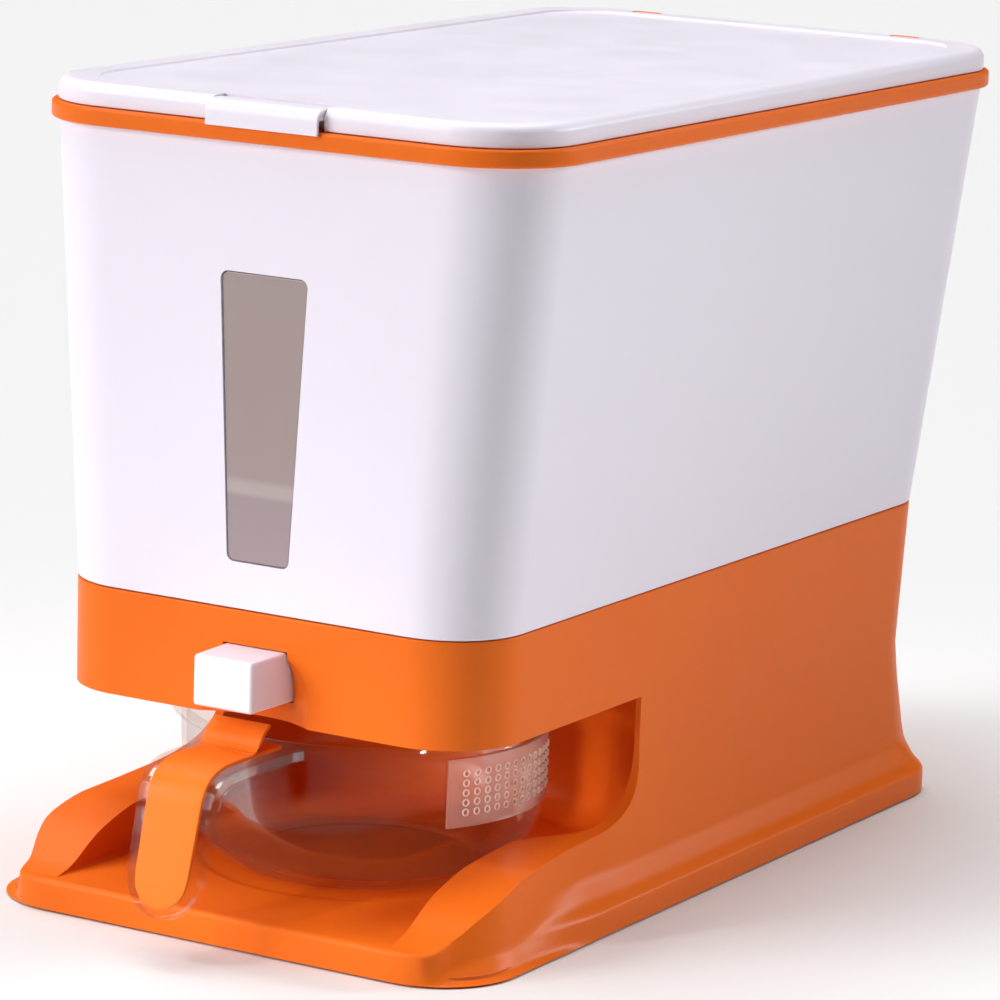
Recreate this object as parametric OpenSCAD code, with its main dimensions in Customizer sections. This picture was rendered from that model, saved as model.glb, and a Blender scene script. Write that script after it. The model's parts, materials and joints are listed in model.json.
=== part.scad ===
// Rice bin: a tapered hopper with a flip lid on a base whose front is open
// for a measuring cup. A push button slides a shutter below the hopper's outlet.
// +Z is up, -Y is the front, and the origin is on the floor under the middle.

/* [Base] */
// Width of the plinth on the floor
plinth_w = 212.8; // [208:0.2:216]
// Radius of the plinth's corners
plinth_r = 32; // [28:1:34]
// Height of the plinth's top and of the tray floor
tray_z = 12; // [11.5:0.1:12.4]
// Wall thickness of the base
base_t = 3; // [2.6:0.1:3.2]
// Clear width of the tray between its arms
tray_w = 143.4; // [142.8:0.2:144.6]
// Height of the overhang's underside
over_z = 78.6; // [78.2:0.1:79]
// Height of the seam between base and hopper
seam_z = 117.8; // [117:0.1:118.4]
// Radius of the curved wall behind the cup
bay_r = 101.7; // [100:0.1:104]

/* [Hopper] */
// Half width of the hopper at the seam
hop_lo = 92.1; // [91.8:0.1:92.4]
// Half width of the hopper under the rim
hop_hi = 104.5; // [104:0.1:104.8]
// Wall thickness of the hopper
hop_t = 2.8; // [2.4:0.1:3]
// Slope of the ramp at the rear of the hopper, in degrees
ramp_rear = 24; // [22:1:26]
// Half length of the outlet across the bin
out_x = 18; // [14:1:18]
// Length of the outlet along the bin
out_y = 13; // [10:0.5:13]

/* [Window] */
// Height of the window's lower edge
win_lo = 135; // [133:0.5:140]
// Height of the window's upper edge
win_hi = 239; // [230:0.5:241]
// Half width of the window at its lower edge
win_w_lo = 13.2; // [12:0.1:14]
// Half width of the window at its upper edge
win_w_hi = 18.3; // [17:0.1:19]

/* [Rim and lid] */
// Half width of the rim
rim_x = 107.5; // [107:0.1:107.9]
// Radius of the rim's corners
rim_r = 35; // [33:1:36]
// Height of the rim's underside
rim_lo = 285; // [285:0.1:285.2]
// Height of the rim's top
rim_hi = 291.4; // [291.2:0.1:291.6]
// Height of the lid's top face
lid_top = 300; // [299.6:0.1:300]
// Depth of the shallow field in the lid's top face
lid_dish = 0.8; // [0.4:0.1:1]
// Radius of the hinge pins
pin_r = 1.6; // [1.4:0.1:1.8]

/* [Button and shutter] */
// Half width of the button's face
btn_x = 12.8; // [12.4:0.1:12.9]
// Travel of the button and the shutter
travel = 14; // [12:0.5:14]
// Thickness of the shutter
shut_t = 3; // [2.6:0.1:3]

/* [Cup] */
// Radius of the cup's rim
cup_r = 72; // [70:0.5:73]
// Height of the cup's rim
cup_z = 70.5; // [68:0.5:71.5]
// Wall thickness of the cup
cup_t = 1.8; // [1.5:0.1:2]
// Half width of the handle's clear channel
han_x = 17; // [16:0.5:18]

/* [Hidden] */

foot_h = 0.8;          // the plinth's underside stands this far off the floor
y_plf = -186.2;        // plinth, front and rear
y_plr = 192.1;
y_front = -163.4;      // front face of the overhang
y_hopf = -163.0;       // hopper at the seam, front and rear
y_hopr = 194.9;
y_rimf = -166.6;       // rim, front and rear
y_rimr = 219.4;
y_cup = -87.4;         // axis of the cup
y_cut = -44;           // rear edge of the side openings
out_y1 = -81;          // rear edge of the outlet
out_y0 = out_y1 - out_y;
shut_z = 85;           // underside of the shutter
hx_y = 214;            // lid hinge axis
hx_z = 297;
lx_y = -157.6;         // latch axis
lx_z = 297.4;
orange = [0.93, 0.42, 0.13];
white = [0.93, 0.92, 0.95];

// Rounded rectangle from half width w, from y0 to y1, corner radius r.
module rr(w, y0, y1, r) {
  union() {
    translate([-w + r, y0]) square([2 * (w - r), y1 - y0]);
    translate([-w, y0 + r]) square([2 * w, y1 - y0 - 2 * r]);
    for (sx = [-1, 1]) {
      translate([sx * (w - r), y0 + r]) circle(r = r, $fn = 64);
      translate([sx * (w - r), y1 - r]) circle(r = r, $fn = 64);
    }
  }
}
// Thin slice of a loft, with coarser corners.
module slice(z, w, y0, y1, r) {
  translate([0, 0, z]) linear_extrude(height = 0.02) union() {
    translate([-w + r, y0]) square([2 * (w - r), y1 - y0]);
    translate([-w, y0 + r]) square([2 * w, y1 - y0 - 2 * r]);
    for (sx = [-1, 1]) {
      translate([sx * (w - r), y0 + r]) circle(r = r, $fn = 32);
      translate([sx * (w - r), y1 - r]) circle(r = r, $fn = 32);
    }
  }
}
// Slice through the base at its arms: wf and wr are the half widths, front and rear.
module arm_slice(z, wf, wr) {
  translate([0, 0, z]) linear_extrude(height = 0.02) union() {
    polygon([[-wr, 150], [-wf, -148], [-wf + 0.5, -153], [-wf + 1.6, -158], [-wf + 3.2, -163],
      [-wf + 5.3, -168], [-wf + 7.7, -173], [-wf + 10.2, -178], [-wf + 12.8, -183], [-wf + 15, -184.2],
      [wf - 15, -184.2], [wf - 12.8, -183], [wf - 10.2, -178], [wf - 7.7, -173], [wf - 5.3, -168],
      [wf - 3.2, -163], [wf - 1.6, -158], [wf - 0.5, -153], [wf, -148], [wr, 150]]);
    translate([-wr + 30, 140]) square([2 * wr - 60, 48.4]);
    for (sx = [-1, 1]) translate([sx * (wr - 30), 158.4]) circle(r = 30, $fn = 32);
  }
}
module box(x0, x1, y0, y1, z0, z1) {
  translate([x0, y0, z0]) cube([x1 - x0, y1 - y0, z1 - z0]);
}
// Plan of the cup bay, grown by t.
module bay_plan(t) {
  w = tray_w / 2 + t;
  s = 89.5 + t;
  union() {
    translate([-w, -260]) square([2 * w, 260 + y_cup + 10]);
    polygon([[-w, -101 - t], [w, -101 - t], [w + 3.5, -93.5 - t], [w + 9, -87 - t],
      [s, -75 - t], [s, y_cut + 1], [-s, y_cut + 1], [-s, -75 - t], [-w - 9, -87 - t],
      [-w - 3.5, -93.5 - t]]);
    intersection() {
      translate([0, y_cup]) circle(r = bay_r + t, $fn = 128);
      translate([-s, -80]) square([2 * s, 200]);
    }
  }
}
// Side view of the opening over the arms, as [y, z] points; d grows it.
module side_cut(d) {
  y2 = y_cut + d;
  translate([-130, 0, 0]) rotate([90, 0, 90]) linear_extrude(height = 260)
    polygon([[-260, over_z + d], [-260, tray_z - d], [-186 + d, tray_z - d], [-180 + d, 12.6 - d],
      [-175 + d, 14 - d], [-170 + d, 16.2 - d], [-165 + d, 19 - d], [-160 + d, 21.6 - d],
      [-154 + d, 24.3 - d], [-147 + d, 26.8 - d], [-140 + d, 28.5 - d], [-132 + d, 30 - d],
      [-122 + d, 31 - d], [-110 + d, 31.8 - d], [-96 + d, 32.4 - d], [-82 + d, 33 - d],
      [-71 + d, 34.2 - d], [-62 + d, 36.4 - d], [-54.5 + d, 40.2 - d], [-49 + d, 45 - d],
      [-45.5 + d, 51 - d], [y2, 58 - d], [y2, over_z + d]]);
}

// ---- base ---------------------------------------------------------------

module base_outer() {
  translate([0, 0, foot_h]) linear_extrude(height = tray_z - foot_h)
    rr(plinth_w / 2, y_plf, y_plr, plinth_r);
  hull() { arm_slice(tray_z - 0.5, 98, 97.1); arm_slice(36, 94.6, 93.4); }
  // the walls flare out to the plinth's edge
  hull() { slice(9.4, 106.2, y_plf + 0.2, 191.9, 32); slice(16, 101, -181, 191, 31); }
  hull() { slice(14, 101.4, -181.4, 190.8, 31); slice(26, 96.4, -176, 189.6, 30.4); }
  hull() { slice(32, 93.2, y_front, 187.7, 30); slice(60, 91.7, y_front, 189.6, 30); }
  hull() { slice(56, 91.4, y_front + 0.2, 189, 30); slice(seam_z - 0.02, hop_lo, y_front + 0.2, y_hopr, 30); }
}
module base_hollow(t) {
  translate([0, 0, foot_h - 1]) linear_extrude(height = tray_z - foot_h - t + 1)
    rr(plinth_w / 2 - t, y_plf + t, y_plr - t, plinth_r - t);
  hull() { slice(tray_z - t - 0.5, 94.2, -181, 185.4, 27); slice(36, 90.4, -181, 185, 27); }
  hull() { slice(31, 90, y_front + t, 184.4, 27); slice(seam_z + 1, hop_lo - t, y_front + t + 0.2, y_hopr - t, 27); }
}
// Where the front wall is dished around the button; t thickens the wall.
module recess(t) {
  intersection() {
    translate([0, -198.6, over_z - 1 - t]) cylinder(r = 42.2 + t, h = 40, $fn = 96);
    translate([0, -140, 0]) rotate([90, 0, 0]) linear_extrude(height = 60) union() {
      translate([0, 90]) scale([(23.3 + t) / 10, (15.8 + t) / 10]) circle(r = 10, $fn = 64);
      translate([-23.3 - t, 60]) square([46.6 + 2 * t, 30]);
    }
  }
}
module base_shell() color(orange) {
  difference() {
    union() {
      difference() {
        base_outer();
        difference() {
          base_hollow(base_t);
          translate([0, 0, -5]) linear_extrude(height = over_z + 5 + base_t) bay_plan(base_t);
          intersection() { side_cut(base_t); box(-120, 120, -190, y_cut + base_t, 0, over_z + base_t); }
          intersection() { recess(base_t); box(-30, 30, y_front, -150, over_z, 114); }
        }
        side_cut(0);
        translate([0, 0, tray_z]) linear_extrude(height = over_z - tray_z) bay_plan(0);
        // hollow below the tray
        translate([0, 0, -1]) linear_extrude(height = tray_z - base_t + 1) intersection() {
          rr(plinth_w / 2 - base_t + 0.1, y_plf + base_t - 0.1, y_plr - base_t + 0.1, plinth_r - base_t + 0.1);
          translate([-98, -190]) square([196, 212]);
        }
        recess(0);
      }
      // bosses for the cover, under the plinth's top and under the tray
      for (sx = [-1, 1]) {
        for (y = [-100, 20, 140]) translate([sx * 98.4, y, 3.4]) cylinder(r = 4, h = 6.6, $fn = 32);
        translate([sx * 45, -165, 3.4]) cylinder(r = 4, h = 6.6, $fn = 32);
        // lugs under the hopper's ledge
        for (y = [60, 150]) box(min(sx * 78, sx * 90.5), max(sx * 78, sx * 90.5), y - 6, y + 6, 104, 107);
      }
      // ribs behind the bay
      for (x = [-45, 0, 45]) box(x - 1, x + 1, x == 0 ? 15.5 : 6, 188, 62, 84);
    }
    box(-btn_x - 1, btn_x + 1, -170, -150, 85.8, 105.3);
    box(-out_x - 2.6, out_x + 2.6, out_y0 - 2.6, out_y1 + 2.6, over_z - 1, over_z + base_t + 1);
    for (sx = [-1, 1]) {
      for (y = [-100, 20, 140]) translate([sx * 98.4, y, 2]) cylinder(r = 1.5, h = 6.5, $fn = 24);
      translate([sx * 45, -165, 2]) cylinder(r = 1.5, h = 6.5, $fn = 24);
      for (y = [60, 150]) translate([sx * 84, y, 100]) cylinder(r = 1.7, h = 8, $fn = 24);
      for (y = [-120, -40]) translate([sx * 30.6, y, over_z - 1]) cylinder(r = 1.5, h = 5, $fn = 24);
    }
  }
}
module bottom_cover() color(orange * 0.9) {
  difference() {
    translate([0, 0, foot_h]) linear_extrude(height = 2.4)
      rr(plinth_w / 2 - base_t - 0.3, y_plf + base_t + 0.3, y_plr - base_t - 0.3, plinth_r - base_t - 0.3);
    for (sx = [-1, 1]) {
      for (y = [-156, 162]) translate([sx * 78, y, 0]) cylinder(r = 9.2, h = 2.2, $fn = 48);
      for (y = [-100, 20, 140]) translate([sx * 98.4, y, 0]) { cylinder(r = 1.7, h = 5, $fn = 24); cylinder(r = 3.2, h = 2, $fn = 32); }
      translate([sx * 45, -165, 0]) { cylinder(r = 1.7, h = 5, $fn = 24); cylinder(r = 3.2, h = 2, $fn = 32); }
    }
  }
}
module rubber_feet() color([0.16, 0.16, 0.17]) {
  for (sx = [-1, 1], y = [-156, 162]) translate([sx * 78, y, 0]) rotate_extrude($fn = 48)
    polygon([[0, 0], [8, 0], [9, 1], [9, 2.2], [0, 2.2]]);
}
module screw(len, head_r, head_h, r) {
  difference() {
    union() { cylinder(r = head_r, h = head_h, $fn = 32); cylinder(r = r, h = len, $fn = 24); }
    for (a = [0, 90]) rotate(a) translate([-head_r * 0.6, -0.3, -0.1]) cube([head_r * 1.2, 0.6, 0.7]);
  }
}
module cover_screws() color([0.6, 0.6, 0.62]) {
  for (sx = [-1, 1]) {
    for (y = [-100, 20, 140]) translate([sx * 98.4, y, 0.9]) screw(7.2, 3, 1.1, 1.45);
    translate([sx * 45, -165, 0.9]) screw(7.2, 3, 1.1, 1.45);
  }
}

// ---- hopper -------------------------------------------------------------

module hopper_room(g, z0) {
  hull() {
    slice(z0, hop_lo - hop_t - g, y_hopf + hop_t + g, y_hopr - hop_t - g, 27);
    slice(rim_lo, hop_hi - hop_t - g, -163.6 + hop_t + g, 216.4 - hop_t - g, 29);
  }
}
module window_plan(g) {
  h = win_hi - win_lo;
  polygon([for (a = [0:15:90]) [win_w_lo - 3 + g + 3 * cos(a - 90), win_lo + 3 - g + 3 * sin(a - 90)],
    for (a = [0:15:90]) [win_w_hi - 3 + g + 3 * cos(a), win_hi - 3 + g + 3 * sin(a)],
    for (a = [90:15:180]) [-win_w_hi + 3 - g + 3 * cos(a), win_hi - 3 + g + 3 * sin(a)],
    for (a = [180:15:270]) [-win_w_lo + 3 - g + 3 * cos(a), win_lo + 3 - g + 3 * sin(a)]]);
}
// A slab in the window's plane, from y0 to y1.
module window_slab(g, y0, y1) {
  translate([0, y1, 0]) rotate([90, 0, 0]) linear_extrude(height = y1 - y0) window_plan(g);
}
module hopper_body() color(white) {
  difference() {
    union() {
      difference() {
        hull() { slice(seam_z, hop_lo, y_hopf, y_hopr, 30); slice(rim_lo - 0.02, hop_hi, -163.6, 216.4, 32); }
        hopper_room(0, seam_z - 0.1);
        box(-110, 110, -180, 230, seam_z - 1, seam_z - 0.05);
      }
      // collar that the rim clips over
      translate([0, 0, rim_lo - 1]) linear_extrude(height = 5.2) difference() {
        rr(103.9, -163, 215.8, 31.4);
        rr(101.3, -160.4, 213.2, 28.8);
      }
      // ledge for the ramps, and the skirt that fits into the base
      translate([0, 0, seam_z]) linear_extrude(height = 2.4) difference() {
        rr(90.6, -161.5, 193.4, 28.5);
        rr(86.6, -157.6, 189.4, 24.6);
      }
      translate([0, 0, 110]) linear_extrude(height = 9) difference() {
        rr(88.8, -159.8, 190.8, 26.8);
        rr(86.6, -157.6, 189.4, 24.6);
      }
      for (sx = [-1, 1], y = [60, 150]) translate([sx * 84, y, 107]) cylinder(r = 4, h = 12, $fn = 32);
      // seat round the window
      intersection() {
        window_slab(4, -160.6, -158.2);
        box(-30, 30, -165, -155, 125, 250);
      }
    }
    window_slab(0, -170, -150);
    window_slab(2.2, -161.6, -150);
    box(-17, 17, -170, -158, rim_lo + 0.02, rim_lo + 10);
    box(-30, 30, -165, -150, 109, 113.4);
    for (sx = [-1, 1], y = [60, 150]) translate([sx * 84, y, 105]) cylinder(r = 1.5, h = 11, $fn = 24);
  }
}
module hopper_screws() color([0.6, 0.6, 0.62]) {
  for (sx = [-1, 1], y = [60, 150]) translate([sx * 84, y, 102.2]) screw(12, 3, 1.8, 1.45);
}
module funnel_void(dz) {
  k = 125;
  translate([0, 0, 100 - dz]) hull() {
    translate([-out_x, out_y0, 0]) cube([2 * out_x, out_y, 0.02]);
    translate([-out_x - k / tan(40), out_y0 - k / tan(24.8), k])
      cube([2 * out_x + 2 * k / tan(40), out_y + k / tan(24.8) + k / tan(ramp_rear), 0.02]);
  }
}
module hopper_funnel() color(white * 0.97) {
  difference() {
    union() {
      intersection() {
        difference() { funnel_void(3.4); funnel_void(0); }
        union() {
          hopper_room(0.4, seam_z + 2.6);
          box(-80, 80, -152, 120, 96, seam_z + 2.7);
        }
      }
      box(-out_x - 2.4, out_x + 2.4, out_y0 - 2.4, out_y1 + 2.4, 88.4, 101);
    }
    box(-out_x, out_x, out_y0, out_y1, 80, 100.02);
    funnel_void(0);
  }
}
module outlet_seal() color([0.25, 0.25, 0.27]) {
  translate([0, 0, 88.1]) linear_extrude(height = 2.6) difference() {
    translate([-out_x - 4.4, out_y0 - 4.4]) square([2 * out_x + 8.8, out_y + 8.8]);
    translate([-out_x - 2.4, out_y0 - 2.4]) square([2 * out_x + 4.8, out_y + 4.8]);
  }
}
module sight_window() color([0.62, 0.57, 0.55, 0.6]) {
  window_slab(-0.2, -162.6, -161);
  window_slab(1.9, -161.4, -160);
}
module window_gasket() color([0.35, 0.33, 0.33]) {
  difference() { window_slab(2, -159.9, -158.6); window_slab(-1.4, -165, -150); }
}

// ---- rim, lid and latch -----------------------------------------------

module rim_ring() color(orange) {
  difference() {
    union() {
      translate([0, 0, rim_lo]) linear_extrude(height = rim_hi - rim_lo) difference() {
        rr(rim_x, y_rimf, y_rimr, rim_r);
        rr(98.5, -153, 203, 24);
      }
      for (sx = [-1, 1]) translate([sx * 60, 0, 0]) {
        translate([-6, hx_y, hx_z]) rotate([0, 90, 0]) cylinder(r = 3, h = 12, $fn = 48);
        box(-6, 6, hx_y - 2.4, hx_y + 2.4, rim_hi - 1, hx_z);
      }
    }
    translate([0, 0, rim_lo - 1]) linear_extrude(height = 5.6) difference() {
      rr(104.3, -163.4, 216.2, 31.8);
      rr(100.9, -160, 212.8, 28.4);
    }
    box(-15, 15, -164, -160.1, rim_lo + 1.5, rim_hi + 1);
    for (sx = [-1, 1]) translate([sx * 60 - 10, hx_y, hx_z]) rotate([0, 90, 0])
      cylinder(r = pin_r + 0.05, h = 20, $fn = 48);
  }
}
module lid() color(white) {
  z0 = rim_hi + 0.3;
  difference() {
    union() {
      difference() {
        hull() {
          slice(z0, 105.3, -164.2, 217.2, 33);
          slice(296.6, 105.3, -164.2, 217.2, 33);
          slice(298.6, 104.2, -163.1, 216.1, 32);
          slice(lid_top - 0.02, 101.6, -160.5, 213.5, 30);
        }
        translate([0, 0, z0 - 1]) linear_extrude(height = 6.6) rr(97.4, -146.9, 202, 22);
        translate([0, 0, lid_top - lid_dish]) linear_extrude(height = 2) rr(92, -151, 204, 24);
        // the rear edge is cut back to roll about the hinge
        box(-112, 112, hx_y, 225, 288, hx_z);
      }
      translate([-71, hx_y, hx_z]) rotate([0, 90, 0]) cylinder(r = 2.9, h = 142, $fn = 48);
      // rib inside the rim
      translate([0, 0, 287]) linear_extrude(height = 10.5) difference() {
        rr(95, -149.5, 199.5, 20.5);
        rr(92.8, -147.3, 197.3, 18.3);
      }
    }
    for (sx = [-1, 1]) {
      box(sx * 60 - 6.5, sx * 60 + 6.5, 209.8, 225, 280, 310);
      translate([sx * 60 - 14, hx_y, hx_z]) rotate([0, 90, 0]) cylinder(r = pin_r, h = 28, $fn = 48);
    }
    box(-23.9, 23.9, -180, -155, 280, 310);
    translate([-30, lx_y, lx_z]) rotate([0, 90, 0]) cylinder(r = 1, h = 60, $fn = 32);
  }
}
module lid_gasket() color([0.85, 0.85, 0.86]) {
  translate([0, 0, 288.4]) linear_extrude(height = 2.6) difference() {
    rr(98.2, -152.7, 202.7, 23.7);
    rr(95, -149.5, 199.5, 20.5);
  }
}
module hinge_pins() color([0.75, 0.75, 0.77]) {
  for (sx = [-1, 1]) translate([sx * 60 - 12, hx_y, hx_z]) rotate([0, 90, 0]) cylinder(r = pin_r, h = 24, $fn = 48);
}
module lid_latch() color(white) {
  difference() {
    union() {
      box(-23.5, 23.5, -168.2, -157.6, 295.4, 299.4);
      box(-23.5, 23.5, -168.2, -166.9, 290.2, 296);
      translate([-23.5, lx_y, lx_z]) rotate([0, 90, 0]) cylinder(r = 2, h = 47, $fn = 32);
      box(-14, 14, -162, -160.5, 288.6, 296);
      box(-14, 14, -162.5, -161.8, 288.6, 290.2);
    }
    translate([-30, lx_y, lx_z]) rotate([0, 90, 0]) cylinder(r = 1.05, h = 60, $fn = 32);
  }
}
module latch_pin() color([0.75, 0.75, 0.77]) {
  translate([-28, lx_y, lx_z]) rotate([0, 90, 0]) cylinder(r = 1, h = 56, $fn = 32);
}

// ---- button and shutter -----------------------------------------------

module push_button() color(white) {
  difference() {
    union() {
      hull() {
        box(-btn_x + 1.2, btn_x - 1.2, -183.8, -183.7, 87.2, 103.7);
        box(-btn_x + 0.3, btn_x - 0.3, -182.4, -182.3, 86.1, 104.7);
        box(-btn_x - 0.6, btn_x + 0.6, -153.1, -153, 86.2, 104.9);
      }
      box(-16, 16, -153.1, -151.5, 84.6, 106);
    }
    box(-btn_x + 1.8, btn_x - 1.8, -181.6, -151, 88.4, 102.5);
  }
  for (sx = [-1, 1]) difference() {
    translate([sx * 5.5, -151.5, 94.6]) rotate([90, 0, 0]) cylinder(r = 3, h = 30.6, $fn = 32);
    translate([sx * 5.5, -151, 94.6]) rotate([90, 0, 0]) cylinder(r = 1.5, h = 12, $fn = 24);
  }
}
module slide_screws() color([0.6, 0.6, 0.62]) {
  for (sx = [-1, 1]) translate([sx * 5.5, -146.7, 94.6]) rotate([90, 0, 0]) screw(12, 2.4, 1.8, 1.45);
}
module shutter_slide() color([0.85, 0.84, 0.86]) {
  difference() {
    union() {
      box(-26.6, 26.6, -151.5, -59, shut_z, shut_z + shut_t);
      box(-16, 16, -151.5, -148.5, shut_z, 106);
      box(-6, 6, -62, -59, shut_z, 96);
      translate([0, -60, 91.6]) rotate([-90, 0, 0]) cylinder(r = 2, h = 9, $fn = 32);
      for (x = [-14, 14]) box(x - 1, x + 1, -149, -138, shut_z, 98);
    }
    box(-out_x, out_x, out_y0 - travel, out_y1 - travel, 80, 90);
    for (sx = [-1, 1]) translate([sx * 5.5, -148, 94.6]) rotate([90, 0, 0]) cylinder(r = 1.6, h = 6, $fn = 24);
  }
}
// Coil spring along Y, swept from rings of points.
module coil(r, w, len, turns) {
  n = 14;
  m = 6;
  steps = n * turns;
  pts = [for (i = [0:steps]) for (j = [0:m - 1])
    let (a = 360 * i / n, b = 360 * j / m, q = r + w * cos(b))
      [q * cos(a), w + (len - 2 * w) * i / steps + w * sin(b), q * sin(a)]];
  faces = concat(
    [[for (j = [0:m - 1]) j]],
    [for (i = [0:steps - 1]) for (j = [0:m - 1])
      [i * m + j, (i + 1) * m + j, (i + 1) * m + (j + 1) % m, i * m + (j + 1) % m]],
    [[for (j = [m - 1:-1:0]) steps * m + j]]);
  polyhedron(points = pts, faces = faces, convexity = 6);
}
module button_spring() color([0.7, 0.7, 0.72]) {
  translate([0, -58.9, 91.6]) coil(3.2, 0.45, 24.8, 8);
}
module chute_housing() color(white * 0.9) {
  difference() {
    union() {
      box(-34, 34, -128, -31, over_z + base_t, 84.6);
      for (sx = [-1, 1]) {
        translate([sx * 30.6, 0, 0]) box(-3.4, 3.4, -128, -31, over_z + base_t, 95);
        for (y = [[-126, -104], [-72, -44]])
          box(min(sx * 23.6, sx * 28), max(sx * 23.6, sx * 28), y[0], y[1], 88.4, 90.4);
      }
      box(-30, 30, -34, -31, over_z + base_t, 95);
      box(-out_x - 2, out_x + 2, out_y0 - 2, out_y1 + 2, over_z + 0.4, 84.6);
    }
    box(-out_x, out_x, out_y0, out_y1, 70, 90);
    for (sx = [-1, 1], y = [-120, -40]) translate([sx * 30.6, y, 70]) cylinder(r = 1.7, h = 30, $fn = 24);
  }
}
module chute_screws() color([0.6, 0.6, 0.62]) {
  for (sx = [-1, 1], y = [-120, -40]) translate([sx * 30.6, y, 96.8]) mirror([0, 0, 1]) screw(17.6, 3, 1.8, 1.45);
}

// ---- measuring cup -----------------------------------------------------

function bowl_out() = [[0, 13.6], [40, 13.6], [41, 12.3], [48.5, 12.3], [50.5, 14], [54, 16.2], [58.5, 20],
  [62.5, 25], [65.2, 31], [66.8, 38], [67.4, 44], [68, 56], [68.4, 66.6]];
module cup_bowl() color([0.9, 0.92, 0.93, 0.35]) {
  difference() {
    union() {
      translate([0, y_cup, 0]) difference() {
        rotate_extrude($fn = 96) polygon(concat(bowl_out(),
          [[69.4, 68], [cup_r, 68.6], [cup_r, cup_z], [66.4, cup_z], [66.2, 56], [65.6, 44], [65, 38.4],
            [63.5, 31.8], [61, 26.2], [57.3, 21.5], [53, 18], [49.5, 16], [44, 15.4], [0, 15.4]]));
        // opening for the strainer, on the +X side
        intersection() {
          translate([0, 0, 39]) linear_extrude(height = 26) polygon([[0, 0], [90, -56.2], [90, 56.2]]);
          difference() {
            cylinder(r = 80, h = 90, $fn = 32);
            translate([0, 0, -1]) cylinder(r = 60, h = 92, $fn = 32);
          }
        }
      }
      // handle: top run, bend and hanging run, seen from the side
      rotate([90, 0, 90]) translate([0, 0, -han_x]) linear_extrude(height = 2 * han_x) polygon(handle_band(0, 2.2));
      for (sx = [-1, 1]) rotate([90, 0, 90]) translate([0, 0, sx * (han_x - 0.9) - 0.9]) linear_extrude(height = 1.8)
        polygon(handle_band(0, 7));
    }
    // the insert's seat, and the handle's round lower end
    intersection() {
      rotate([90, 0, 90]) translate([0, 0, -12.3]) linear_extrude(height = 24.6) polygon(handle_band(-2, 0.8));
      tongue(12.3);
    }
    difference() {
      box(-30, 30, -240, -160, 10, 19 + han_x);
      tongue(han_x);
    }
  }
}
// Everything in front of the cup inside a round-ended strip of half width w.
module tongue(w) {
  translate([0, -150, 0]) rotate([90, 0, 0]) linear_extrude(height = 90) union() {
    translate([-w, 19 + han_x]) square([2 * w, 60]);
    translate([0, 19 + han_x]) circle(r = w, $fn = 96);
  }
}
// The handle's outer line, from the rim to its lower end, as [y, z].
function run_top() = [[-158, 70.5], [-190, 70.5], [-197, 70], [-202, 68.6], [-206, 66], [-208.6, 62.4], [-219.4, 19]];
function inn(i) = i < 2 ? [0, -1] : i == 2 ? [0.12, -0.99] : i == 3 ? [0.4, -0.92] : i == 4 ? [0.7, -0.71] : [0.98, -0.18];
// The strip of the side view between depths a and b under that line.
function handle_band(a, b) = concat([for (i = [0:len(run_top()) - 1]) run_top()[i] + a * inn(i)],
  [for (i = [len(run_top()) - 1:-1:0]) run_top()[i] + b * inn(i)]);
module strainer_panel() color([0.88, 0.78, 0.76, 0.7]) {
  translate([0, y_cup, 0]) difference() {
    intersection() {
      translate([0, 0, 39.3]) linear_extrude(height = 25.4) polygon([[0, 0], [90, -55.2], [90, 55.2]]);
      difference() {
        cylinder(r = 67.6, h = 90, $fn = 96);
        translate([0, 0, -1]) cylinder(r = 66.2, h = 92, $fn = 96);
      }
    }
    for (a = [-27.5:5.5:27.5], z = [43, 48, 53, 58, 62.5]) rotate(a) translate([60, 0, z])
      rotate([0, 90, 0]) cylinder(r = 1.1, h = 12, $fn = 16);
  }
}
module handle_insert() color(orange) {
  intersection() {
    union() {
      rotate([90, 0, 90]) translate([0, 0, -12]) linear_extrude(height = 24) polygon(handle_band(-0.5, 0.8));
      // thumb tab
      rotate([90, 0, 90]) translate([0, 0, -12]) linear_extrude(height = 24)
        polygon([[-177.5, 70.2], [-175.6, 75], [-169.6, 80.2], [-168.2, 78.8], [-172.6, 74], [-173.4, 70.2]]);
    }
    tongue(12);
    box(-20, 20, -240, -162.4, 0, 90);
  }
}

base_shell();
bottom_cover();
rubber_feet();
cover_screws();
hopper_body();
hopper_screws();
hopper_funnel();
outlet_seal();
sight_window();
window_gasket();
rim_ring();
lid();
lid_gasket();
hinge_pins();
lid_latch();
latch_pin();
push_button();
slide_screws();
shutter_slide();
button_spring();
chute_housing();
chute_screws();
cup_bowl();
strainer_panel();
handle_insert();
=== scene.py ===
import json
import math

import bmesh
import bpy
from mathutils import Matrix, Vector
from mathutils.geometry import tessellate_polygon

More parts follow.
